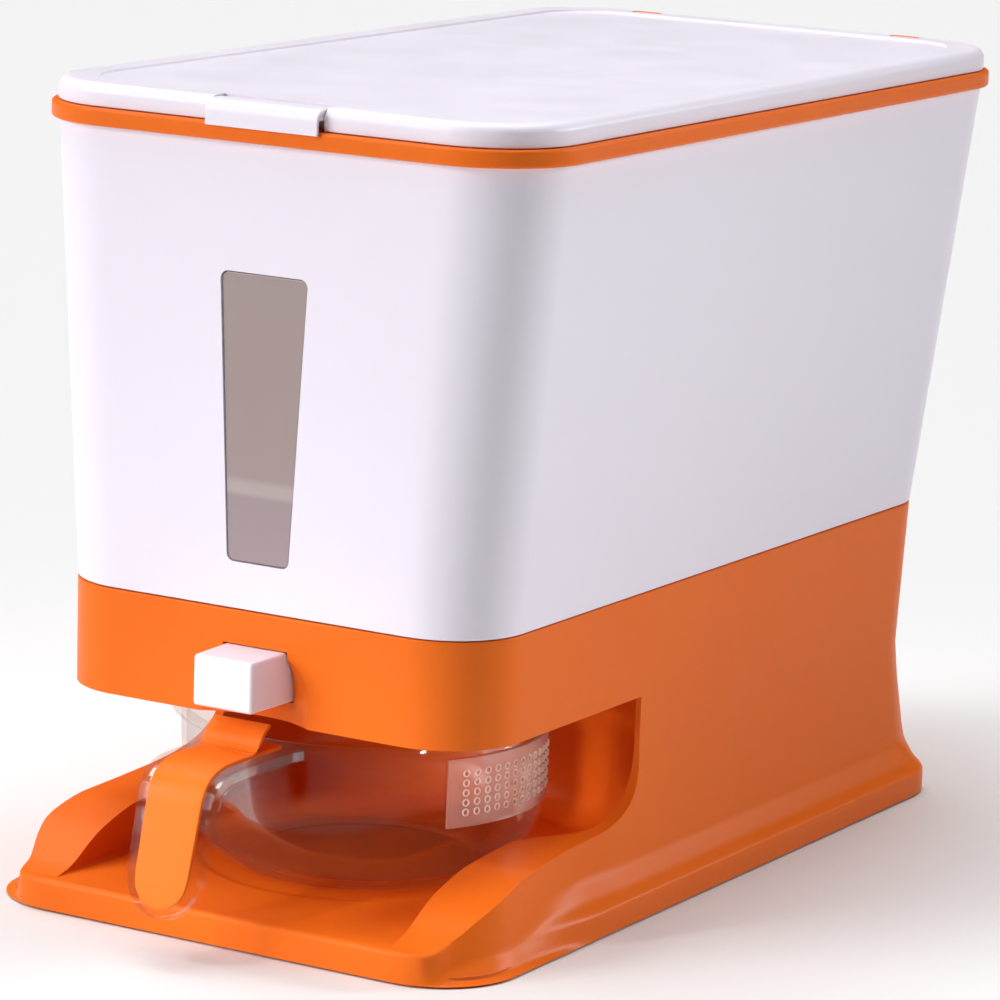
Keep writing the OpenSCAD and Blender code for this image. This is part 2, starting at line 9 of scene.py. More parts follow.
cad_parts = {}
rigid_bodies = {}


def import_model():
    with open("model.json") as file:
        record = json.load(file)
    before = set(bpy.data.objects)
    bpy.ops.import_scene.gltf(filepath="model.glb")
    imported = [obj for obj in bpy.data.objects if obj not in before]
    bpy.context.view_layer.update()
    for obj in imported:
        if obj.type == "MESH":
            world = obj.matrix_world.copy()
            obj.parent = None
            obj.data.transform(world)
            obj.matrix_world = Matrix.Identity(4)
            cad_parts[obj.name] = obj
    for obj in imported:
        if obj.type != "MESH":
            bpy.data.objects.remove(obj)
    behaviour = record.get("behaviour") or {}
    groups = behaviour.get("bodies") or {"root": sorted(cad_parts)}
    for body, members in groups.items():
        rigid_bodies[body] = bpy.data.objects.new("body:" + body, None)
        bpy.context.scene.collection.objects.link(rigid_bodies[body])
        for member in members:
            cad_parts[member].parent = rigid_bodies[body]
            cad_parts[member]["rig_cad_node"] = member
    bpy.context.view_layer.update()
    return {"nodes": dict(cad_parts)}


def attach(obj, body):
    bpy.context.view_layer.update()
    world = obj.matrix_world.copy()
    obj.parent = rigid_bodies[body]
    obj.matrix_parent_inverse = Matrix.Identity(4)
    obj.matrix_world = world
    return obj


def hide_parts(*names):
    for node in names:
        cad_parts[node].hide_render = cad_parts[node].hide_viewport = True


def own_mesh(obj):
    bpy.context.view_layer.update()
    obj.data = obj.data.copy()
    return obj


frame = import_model()

MM = 0.001


# ------------------------------------------------------------------ geometry kit
# Points are in millimetres in the row frame until a mesh is made.


def pchip(xs, ys):
    """Monotone cubic through the given points, as a function."""
    n = len(xs)
    h = [xs[i + 1] - xs[i] for i in range(n - 1)]
    d = [(ys[i + 1] - ys[i]) / h[i] for i in range(n - 1)]
    m = [d[0]] + [0.0] * (n - 2) + [d[-1]]
    for i in range(1, n - 1):
        if d[i - 1] * d[i] > 0:
            a, b = 2 * h[i] + h[i - 1], h[i] + 2 * h[i - 1]
            m[i] = (a + b) / (a / d[i - 1] + b / d[i])

    def f(x):
        if x <= xs[0]:
            return ys[0]
        if x >= xs[-1]:
            return ys[-1]
        i = max(k for k in range(n - 1) if xs[k] <= x)
        t = (x - xs[i]) / h[i]
        return (
            ys[i] * (1 + 2 * t) * (1 - t) ** 2
            + h[i] * m[i] * t * (1 - t) ** 2
            + ys[i + 1] * t * t * (3 - 2 * t)
            - h[i] * m[i + 1] * t * t * (1 - t)
        )

    return f


def catmull(points, per=12):
    """Centripetal Catmull-Rom curve through points of any dimension."""
    p = [tuple(map(float, q)) for q in points]
    p = [tuple(2 * a - b for a, b in zip(p[0], p[1]))] + p + [tuple(2 * a - b for a, b in zip(p[-1], p[-2]))]
    out = []
    for i in range(1, len(p) - 2):
        q = p[i - 1 : i + 3]
        t = [0.0]
        for a, b in zip(q, q[1:]):
            t.append(t[-1] + max(math.dist(a, b), 1e-9) ** 0.5)
        for k in range(per):
            s = t[1] + (t[2] - t[1]) * k / per
            mix = lambda a, b, ta, tb: tuple((tb - s) / (tb - ta) * x + (s - ta) / (tb - ta) * y for x, y in zip(a, b))
            a1, a2, a3 = mix(q[0], q[1], t[0], t[1]), mix(q[1], q[2], t[1], t[2]), mix(q[2], q[3], t[2], t[3])
            out.append(mix(mix(a1, a2, t[0], t[2]), mix(a2, a3, t[1], t[3]), t[1], t[2]))
    out.append(p[-2])
    return out


def resample(pts, n=None, step=None):
    """The polyline at n + 1 points of equal spacing."""
    acc = [0.0]
    for a, b in zip(pts, pts[1:]):
        acc.append(acc[-1] + math.dist(a, b))
    n = n or max(1, round(acc[-1] / step))
    out, j = [], 0
    for i in range(n + 1):
        s = acc[-1] * i / n
        while j < len(pts) - 2 and acc[j + 1] < s:
            j += 1
        w = (s - acc[j]) / max(acc[j + 1] - acc[j], 1e-12)
        out.append(tuple(x + (y - x) * w for x, y in zip(pts[j], pts[j + 1])))
    return out


def arc(cx, cy, r, a0, a1, n):
    return [(cx + r * math.cos(math.radians(a0 + (a1 - a0) * i / n)), cy + r * math.sin(math.radians(a0 + (a1 - a0) * i / n))) for i in range(n + 1)]


def line(a, b, n):
    return [tuple(x + (y - x) * i / n for x, y in zip(a, b)) for i in range(n + 1)]


def chain(*parts):
    """Joins runs of points, leaving out doubled ends."""
    out = []
    for part in parts:
        for p in part:
            if not out or math.dist(out[-1], p) > 1e-6:
                out.append(p)
    return out


def rounded(w, y0, y1, r, front=(), rear=(), nc=14, ny=12):
    """Closed rounded rectangle, anticlockwise from the front edge's right end, without a doubled end. front and rear are more stops in x."""
    c = w - r
    pts = chain(
        arc(c, y0 + r, r, -90, 0, nc),
        line((w, y0 + r), (w, y1 - r), ny),
        arc(c, y1 - r, r, 0, 90, nc),
        [(x, y1) for x in sorted({c, -c, *rear}, reverse=True)],
        arc(-c, y1 - r, r, 90, 180, nc),
        line((-w, y1 - r), (-w, y0 + r), ny),
        arc(-c, y0 + r, r, 180, 270, nc),
        [(x, y0) for x in sorted({c, -c, *front})],
    )
    return pts[:-1]


def ring_at(loop, z):
    return [(x, y, z) for x, y in loop]


class Shape:
    """Collects patches of faces; points that meet are merged."""

    def __init__(self):
        self.v, self.f = [], []

    def grid(self, rows, closed=False, skip=None):
        n, base = len(rows[0]), len(self.v)
        for r in rows:
            assert len(r) == n, (len(r), n)
            self.v.extend(r)
        for i in range(len(rows) - 1):
            for j in range(n if closed else n - 1):
                k = (j + 1) % n
                f = (base + i * n + j, base + i * n + k, base + (i + 1) * n + k, base + (i + 1) * n + j)
                if skip and skip(*(sum(self.v[q][c] for q in f) / 4 for c in range(3))):
                    continue
                self.f.append(f)
        return self

    def face(self, loop):
        base = len(self.v)
        self.v.extend(loop)
        self.f.append(tuple(range(base, base + len(loop))))
        return self

    def fill(self, outer, *holes):
        loops = [list(outer)] + [list(h) for h in holes]
        base = len(self.v)
        for h in loops:
            self.v.extend(h)
        for t in tessellate_polygon([[Vector(p) for p in h] for h in loops]):
            self.f.append(tuple(base + i for i in t))
        return self

    def mirrored(self):
        """Adds the shape's mirror image in x."""
        n = len(self.v)
        self.v += [(-x, y, z) for x, y, z in self.v]
        self.f += [tuple(n + i for i in reversed(f)) for f in self.f]
        return self

    def add(self, other):
        n = len(self.v)
        self.v += other.v
        self.f += [tuple(n + i for i in f) for f in other.f]
        return self

    def object(self, name, weld=0.02, outward=True, bevel=None, bevel_angle=35, segments=3, subsurf=0, sharp=None, weighted=True):
        me = bpy.data.meshes.new(name)
        me.from_pydata([(x * MM, y * MM, z * MM) for x, y, z in self.v], [], [f for f in self.f if len(set(f)) > 2])
        bm = bmesh.new()
        bm.from_mesh(me)
        bmesh.ops.remove_doubles(bm, verts=bm.verts, dist=weld * MM)
        bmesh.ops.dissolve_degenerate(bm, edges=bm.edges, dist=0.001 * MM)
        loose = [v for v in bm.verts if not v.link_faces]
        bmesh.ops.delete(bm, geom=loose, context="VERTS")
        bmesh.ops.recalc_face_normals(bm, faces=bm.faces)
        if outward:
            vol = 0.0
            for f in bm.faces:
                c = f.calc_center_median()
                vol += c.dot(f.normal) * f.calc_area()
            if vol < 0:
                bmesh.ops.reverse_faces(bm, faces=bm.faces)
        for f in bm.faces:
            f.smooth = True
        if sharp is not None:
            for e in bm.edges:
                if len(e.link_faces) == 2 and e.calc_face_angle(0) > math.radians(sharp):
                    e.smooth = False
        bm.to_mesh(me)
        bm.free()
        ob = bpy.data.objects.new(name, me)
        bpy.context.scene.collection.objects.link(ob)
        if subsurf:
            m = ob.modifiers.new("Subsurf", "SUBSURF")
            m.levels = m.render_levels = subsurf
        if bevel:
            m = ob.modifiers.new("Bevel", "BEVEL")
            m.width, m.segments, m.limit_method = bevel * MM, segments, "ANGLE"
            m.angle_limit = math.radians(bevel_angle)
            m.use_clamp_overlap = False
            m.harden_normals = False
            m.miter_outer = "MITER_ARC"
        if weighted:
            m = ob.modifiers.new("Normals", "WEIGHTED_NORMAL")
            m.keep_sharp, m.weight = True, 80
        return ob


def prism(profile, x0, x1):
    """A closed (y, z) profile pulled along x."""
    s = Shape()
    ends = [[(x, y, z) for y, z in profile] for x in (x0, x1)]
    s.grid(ends, closed=True)
    return s.fill(ends[0]).fill(ends[1])


def block(x0, x1, y0, y1, z0, z1):
    return prism([(y0, z0), (y1, z0), (y1, z1), (y0, z1)], x0, x1)


def smooth(a, b, x):
    t = min(1.0, max(0.0, (x - a) / (b - a)))
    return t * t * (3 - 2 * t)


# ------------------------------------------------------------------ materials


def node(nt, kind, **inputs):
    n = nt.nodes.new(kind)
    for k, v in inputs.items():
        n.inputs[k].default_value = v
    return n


def plastic(name, color, rough=0.34, rough_var=0.05, grain=900, grain_depth=0.02, tone=0.03, coat=0.0, spec=0.5, sub=0.0, wave=0.02):
    """Moulded plastic: even colour with a faint cloudiness, fine grain, uneven gloss and a long shallow waviness."""
    m = bpy.data.materials.new(name)
    m.use_nodes = True
    nt = m.node_tree
    b = nt.nodes["Principled BSDF"]
    co = nt.nodes.new("ShaderNodeTexCoord")
    big = node(nt, "ShaderNodeTexNoise", Scale=9.0, Detail=3.0, Roughness=0.5)
    fine = node(nt, "ShaderNodeTexNoise", Scale=float(grain), Detail=2.0, Roughness=0.6)
    smear = node(nt, "ShaderNodeTexNoise", Scale=38.0, Detail=5.0, Roughness=0.65)
    for t in (big, fine, smear):
        nt.links.new(co.outputs["Object"], t.inputs["Vector"])
    ramp = nt.nodes.new("ShaderNodeMix")
    ramp.data_type = "RGBA"
    dark = [max(0.0, c * (1 - tone)) for c in color[:3]] + [1]
    light = [min(1.0, c * (1 + tone * 0.6)) for c in color[:3]] + [1]
    ramp.inputs["A"].default_value, ramp.inputs["B"].default_value = dark, light
    nt.links.new(big.outputs["Fac"], ramp.inputs["Factor"])
    nt.links.new(ramp.outputs["Result"], b.inputs["Base Color"])
    mr = nt.nodes.new("ShaderNodeMapRange")
    mr.inputs["From Min"].default_value, mr.inputs["From Max"].default_value = 0.3, 0.7
    mr.inputs["To Min"].default_value, mr.inputs["To Max"].default_value = rough - rough_var, rough + rough_var
    nt.links.new(smear.outputs["Fac"], mr.inputs["Value"])
    nt.links.new(mr.outputs["Result"], b.inputs["Roughness"])
    b1 = node(nt, "ShaderNodeBump", Strength=wave, Distance=0.004)
    nt.links.new(smear.outputs["Fac"], b1.inputs["Height"])
    b2 = node(nt, "ShaderNodeBump", Strength=grain_depth * 4, Distance=0.0002)
    nt.links.new(fine.outputs["Fac"], b2.inputs["Height"])
    nt.links.new(b1.outputs["Normal"], b2.inputs["Normal"])
    nt.links.new(b2.outputs["Normal"], b.inputs["Normal"])
    b.inputs["Specular IOR Level"].default_value = spec
    b.inputs["Coat Weight"].default_value = coat
    b.inputs["Coat Roughness"].default_value = 0.12
    if sub:
        b.inputs["Subsurface Weight"].default_value = sub
        b.inputs["Subsurface Radius"].default_value = (1.0, 0.7, 0.5)
        b.inputs["Subsurface Scale"].default_value = 0.004
    return m


def metal(name, color=(0.72, 0.72, 0.74), rough=0.3):
    m = plastic(name, color, rough, 0.1, grain=1500, grain_depth=0.05, tone=0.08)
    m.node_tree.nodes["Principled BSDF"].inputs["Metallic"].default_value = 1.0
    return m


def clear(name, tint=(1.0, 0.985, 0.975), gloss=0.06, haze=0.0, rim=0.09, haze_and_sheen_color=(1.0, 0.94, 0.94), shine=0.28):
    """Thin clear plastic: see-through head on and glossier at a grazing angle. At a grazing angle it is also whiter, a
    painted reflection in its diffuse part; haze is the plastic's own milkiness head on.
    """
    m = bpy.data.materials.new(name)
    m.use_nodes = True
    nt = m.node_tree
    nt.nodes.remove(nt.nodes["Principled BSDF"])
    out = nt.nodes["Material Output"]
    tr = nt.nodes.new("ShaderNodeBsdfTransparent")
    tr.inputs["Color"].default_value = (*tint, 1)
    gl = nt.nodes.new("ShaderNodeBsdfGlossy")
    df = nt.nodes.new("ShaderNodeBsdfDiffuse")
    df.inputs["Color"].default_value = (*haze_and_sheen_color, 1)
    co = nt.nodes.new("ShaderNodeTexCoord")
    no = node(nt, "ShaderNodeTexNoise", Scale=24.0, Detail=4.0, Roughness=0.55)
    nt.links.new(co.outputs["Object"], no.inputs["Vector"])
    bump = node(nt, "ShaderNodeBump", Strength=0.05, Distance=0.003)
    nt.links.new(no.outputs["Fac"], bump.inputs["Height"])
    nt.links.new(bump.outputs["Normal"], gl.inputs["Normal"])
    rough = nt.nodes.new("ShaderNodeMapRange")
    rough.inputs["From Min"].default_value, rough.inputs["From Max"].default_value = 0.3, 0.7
    rough.inputs["To Min"].default_value, rough.inputs["To Max"].default_value = gloss * 0.7, gloss * 1.4
    nt.links.new(no.outputs["Fac"], rough.inputs["Value"])
    nt.links.new(rough.outputs["Result"], gl.inputs["Roughness"])
    lw = node(nt, "ShaderNodeLayerWeight", Blend=0.25)
    sharp = nt.nodes.new("ShaderNodeMath")
    sharp.operation = "POWER"
    nt.links.new(lw.outputs["Facing"], sharp.inputs[0])
    sharp.inputs[1].default_value = 2.2
    # painted reflection: the diffuse white rises from haze head on to rim at a grazing angle, standing in for part of
    # the gloss
    haze_and_sheen = nt.nodes.new("ShaderNodeMapRange")
    haze_and_sheen.inputs["To Min"].default_value, haze_and_sheen.inputs["To Max"].default_value = haze, rim
    nt.links.new(sharp.outputs["Value"], haze_and_sheen.inputs["Value"])
    haze_and_sheen_mix = nt.nodes.new("ShaderNodeMixShader")
    nt.links.new(haze_and_sheen.outputs["Result"], haze_and_sheen_mix.inputs["Fac"])
    nt.links.new(tr.outputs["BSDF"], haze_and_sheen_mix.inputs[1])
    nt.links.new(df.outputs["BSDF"], haze_and_sheen_mix.inputs[2])
    fres = node(nt, "ShaderNodeFresnel", IOR=1.45)
    less = nt.nodes.new("ShaderNodeMath")
    less.operation = "MULTIPLY"
    nt.links.new(fres.outputs["Fac"], less.inputs[0])
    less.inputs[1].default_value = shine
    mix = nt.nodes.new("ShaderNodeMixShader")
    nt.links.new(less.outputs["Value"], mix.inputs["Fac"])
    nt.links.new(haze_and_sheen_mix.outputs["Shader"], mix.inputs[1])
    nt.links.new(gl.outputs["BSDF"], mix.inputs[2])
    nt.links.new(mix.outputs["Shader"], out.inputs["Surface"])
    return m


def paint(obj, mat):
    """Gives a piece or a CAD node its material."""
    if obj.type == "MESH" and obj.get("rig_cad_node"):
        obj.data.materials.clear()
        obj.data.materials.append(mat)
    else:
        obj.data.materials.clear()
        obj.data.materials.append(mat)
    return obj


ORANGE = plastic("orange_plastic", (0.86, 0.158, 0.011), rough=0.38, tone=0.04, spec=0.12)
ORANGE_DARK = plastic("dark_orange_plastic", (0.7, 0.17, 0.03), rough=0.5)
WHITE = plastic("white_plastic", (0.86, 0.805, 0.9), rough=0.36, tone=0.02, spec=0.35)
INNER = plastic("inner_plastic", (0.78, 0.77, 0.79), rough=0.42, tone=0.03)
STEEL = metal("screw_steel")
RUBBER = plastic("foot_rubber", (0.02, 0.02, 0.022), rough=0.75, grain=600, grain_depth=0.08)
GREY_RUBBER = plastic("grey_rubber", (0.1, 0.09, 0.09), rough=0.7, grain=600, grain_depth=0.06)
PALE_RUBBER = plastic("pale_rubber", (0.68, 0.68, 0.7), rough=0.6, grain=600, grain_depth=0.06)
CLEAR = clear("clear_plastic")
STRAINER = clear("strainer_plastic", tint=(1.0, 0.95, 0.93), haze=0.3, rim=0.45, haze_and_sheen_color=(1.0, 0.72, 0.62), gloss=0.2)
# painted highlight: near-white collars stand in for light glinting at the strainer's holes
GLINT_COLLAR = clear("strainer_collar_glint", tint=(1.0, 0.97, 0.95), haze=0.85, rim=0.9, haze_and_sheen_color=(1.0, 0.93, 0.84), gloss=0.15)
SMOKED = plastic("smoked_clear", (0.34, 0.262, 0.255), rough=0.18, rough_var=0.04, tone=0.05, grain_depth=0.01)


def banded(mat, stops):
    """Colours a material by height: stops are (height in metres, colour)."""
    nt = mat.node_tree
    co = nt.nodes.new("ShaderNodeTexCoord")
    xyz = nt.nodes.new("ShaderNodeSeparateXYZ")
    nt.links.new(co.outputs["Object"], xyz.inputs["Vector"])
    mr = nt.nodes.new("ShaderNodeMapRange")
    lo, hi = stops[0][0], stops[-1][0]
    mr.inputs["From Min"].default_value, mr.inputs["From Max"].default_value = lo, hi
    nt.links.new(xyz.outputs["Z"], mr.inputs["Value"])
    ramp = nt.nodes.new("ShaderNodeValToRGB")
    e = ramp.color_ramp.elements
    while len(e) < len(stops):
        e.new(0.5)
    for k, (h, c) in enumerate(stops):
        e[k].position = (h - lo) / (hi - lo)
        e[k].color = (*c, 1)
    nt.links.new(mr.outputs["Result"], ramp.inputs["Fac"])
    nt.links.new(ramp.outputs["Color"], nt.nodes["Principled BSDF"].inputs["Base Color"])
    return mat


# rice and the ramp show faintly through the lower part of the pane
banded(SMOKED, [(0.13, (0.36, 0.275, 0.29)), (0.1585, (0.34, 0.26, 0.27)), (0.1605, (0.43, 0.35, 0.35)), (0.1635, (0.42, 0.34, 0.335)), (0.166, (0.345, 0.265, 0.256)), (0.2, (0.335, 0.258, 0.25)), (0.24, (0.345, 0.268, 0.26))])

MATS = {
    "base_shell": ORANGE, "bottom_cover": ORANGE_DARK, "rubber_feet": RUBBER, "cover_screws": STEEL,
    "hopper_body": WHITE, "hopper_screws": STEEL, "hopper_funnel": INNER, "outlet_seal": GREY_RUBBER,
    "sight_window": SMOKED, "window_gasket": GREY_RUBBER, "rim_ring": ORANGE, "lid": WHITE, "lid_gasket": PALE_RUBBER,
    "hinge_pins": STEEL, "lid_latch": WHITE, "latch_pin": STEEL, "push_button": WHITE, "slide_screws": STEEL,
    "shutter_slide": INNER, "button_spring": STEEL, "chute_housing": INNER, "chute_screws": STEEL,
    "cup_bowl": CLEAR, "strainer_panel": STRAINER, "handle_insert": ORANGE,
}
for name, ob in frame["nodes"].items():
    paint(ob, MATS[name])


def keep(ob, body, mat, *nodes, slot=None):
    """Puts a finished piece on its body."""
    paint(ob, mat)
    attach(ob, body)
    if nodes:
        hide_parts(*nodes)
    return ob


# ------------------------------------------------------------------ base

FLOOR, SEAM, OVER = 12.0, 117.6, 78.6
Y_F, Y_CUT, Y_CUP = -163.3, -44.0, -87.4
BAY_R = 101.7


def wall(z):
    """Half width of the base's side wall at height z."""
    if z < 60:
        return 91.6 + 5.4 * ((60 - z) / 48.0) ** 1.6
    return 91.6 + 0.5 * (z - 60) / 57.8


rear_y = pchip([12, 20, 35, 60, 90, 117.8], [188.6, 188.1, 188.3, 189.6, 192.2, 194.8])

# the arm's top line in side view
side_line = catmull(
    [(-181.5, 12.0), (-178.4, 12.7), (-173.4, 14.1), (-168.4, 16.4), (-163.4, 19.5), (-158.4, 22.2), (-153.4, 24.4), (-143, 27.6),
     (-133, 29.8), (-123, 30.7), (-113, 31.4), (-98, 32.4), (-84, 33.1), (-71, 34.3), (-62, 36.3), (-55, 39.2), (-50, 43), (-46.5, 48),
     (-44.6, 54), (-44.0, 60)], 16)
side_line = resample([(max(a, -181.5), max(b, 12.0)) for a, b in side_line], 84)
side_line[0], side_line[-1] = (-181.5, 12.0), (Y_CUT, 60.0)
edge_out = pchip(
    [-181.5, -178.4, -173.4, -168.4, -163.4, -158.4, -153.4, -148.4, -140, -133.4, -123.4, -113.4, -98, -84],
    [85.4, 87.1, 89.6, 91.9, 94.0, 95.7, 96.9, 97.3, 96.9, 96.3, 95.4, 94.7, 94.0, 93.7])
foot_out = pchip(
    [-181.5, -178.4, -173.4, -168.4, -163.4, -158.4, -153.4, -148.4, -140, -125, -105, -84, -60, Y_CUT],
    [85.5, 87.5, 90.6, 93.4, 95.9, 97.9, 99.0, 99.4, 99.4, 98.8, 97.9, 97.3, 97.05, 97.0])
edge_in = pchip([-181.5, -106, -100, -92, -84.5, -76, -69, -60, Y_CUT], [71.7, 71.7, 72.3, 76, 82, 87.6, 89.2, 89.5, 89.5])


TAU = pchip([8, 8.8, 9.4, 10, 11, 12.7, 15.5, 20.9, 35.8, 48.7, 60], [0, 0.003, 0.015, 0.045, 0.12, 0.255, 0.394, 0.604, 0.79, 0.92, 1])
G_CORNER = pchip([0, 0.05, 0.16, 0.38, 0.76, 1], [0, 0.25, 0.457, 0.77, 0.895, 1])
PCX, PCY, PCR = 74.4, -154.2, 32.0  # front corner of the plinth


def arm_x(y, z):
    """Outer edge of the arm's top at (y, z)."""
    a = edge_out(min(y, -84.0))
    return a + (106.4 - 14.8 * TAU(z) - a) * smooth(-98, -60, y)


def skin_stations():
    """Stations round the base's outer skin, front middle to rear middle: foot point, normal, top point, top height, front and rear weights."""
    out = []
    for i in range(15):
        x = PCX * i / 14
        out.append(((x, -186.2), (0, -1), (x, -184.4), 12.0, 1.0, 0.0))
    for i in range(1, 8):
        a = math.radians(-90 + 20 * i / 7)
        n = (math.cos(a), math.sin(a))
        out.append(((PCX + PCR * n[0], PCY + PCR * n[1]), n, (PCX + (PCR - 1.8) * n[0], PCY + (PCR - 1.8) * n[1]), 12.0,
                    smooth(-45, -75, math.degrees(a)), 0.0))
    for y, z in side_line:
        x = arm_x(y, z)
        if y < PCY:
            a = math.atan2(y - PCY, x - PCX)
            n = (math.cos(a), math.sin(a))
            out.append(((PCX + PCR * n[0], PCY + PCR * n[1]), n, (x, y), z, smooth(-45, -75, math.degrees(a)), 0.0))
        else:
            out.append(((106.4, y), (1, 0), (x, y), z, 0.0, smooth(-150, -84, y)))
    foot = chain(line((106.4, Y_CUT), (106.4, 160.1), 16), arc(74.4, 160.1, 32, 0, 90, 14), line((74.4, 192.1), (0, 192.1), 6))
    top = chain(line((91.6, Y_CUT), (91.6, 159.6), 16), arc(61.6, 159.6, 30, 0, 90, 14), line((61.6, 189.6), (0, 189.6), 6))
    for k, (o, e) in enumerate(zip(foot, top)):
        if k:
            n = (1, 0) if k <= 16 else (0, 1) if k >= 30 else ((o[0] - 74.4) / 32, (o[1] - 160.1) / 32)
            out.append((o, n, e, 60.0, 0.0, 1.0))
    return out


def skin_column(o, n, e, zt, wf, wr):
    wc = 1.0 - wf - wr
    z_f = min(22 * wr + 8 * wc + 10.2 * wf, zt - 0.18 * (zt - 0.8))
    z_toe = min(9.2 * wr + 0.95 * wc + 6 * wf, z_f - 0.3 * (z_f - 0.8))
    zs = [zt + (z_f - zt) * i / 8 for i in range(8)] + [z_f + (z_toe - z_f) * i / 12 for i in range(12)] + [z_toe + (0.8 - z_toe) * i / 4 for i in range(5)]
    col = []
    for z in zs:
        g = 0.0
        if wr:
            g += wr * TAU(z) / TAU(zt) if zt > 9 else 0.0
        if wc > 1e-6:
            g += wc * G_CORNER((z - 0.8) / (zt - 0.8))
        if wf:
            d = max(0.0, (z - (zt - 1.8)) / 1.8)
            g += wf * (1 - math.sqrt(max(0.0, 1 - d * d)))
        col.append((o[0] + (e[0] - o[0]) * g, o[1] + (e[1] - o[1]) * g, z))
    return col


def dish(x, z):
    """Depth of the niche's domed wall round the button."""
    q = min(1.0, math.hypot(x / 23.3, max(0.0, z - 90) / 15.8))
    return Y_F + math.sqrt(42.3 ** 2 - (23.3 * q) ** 2) - 35.305


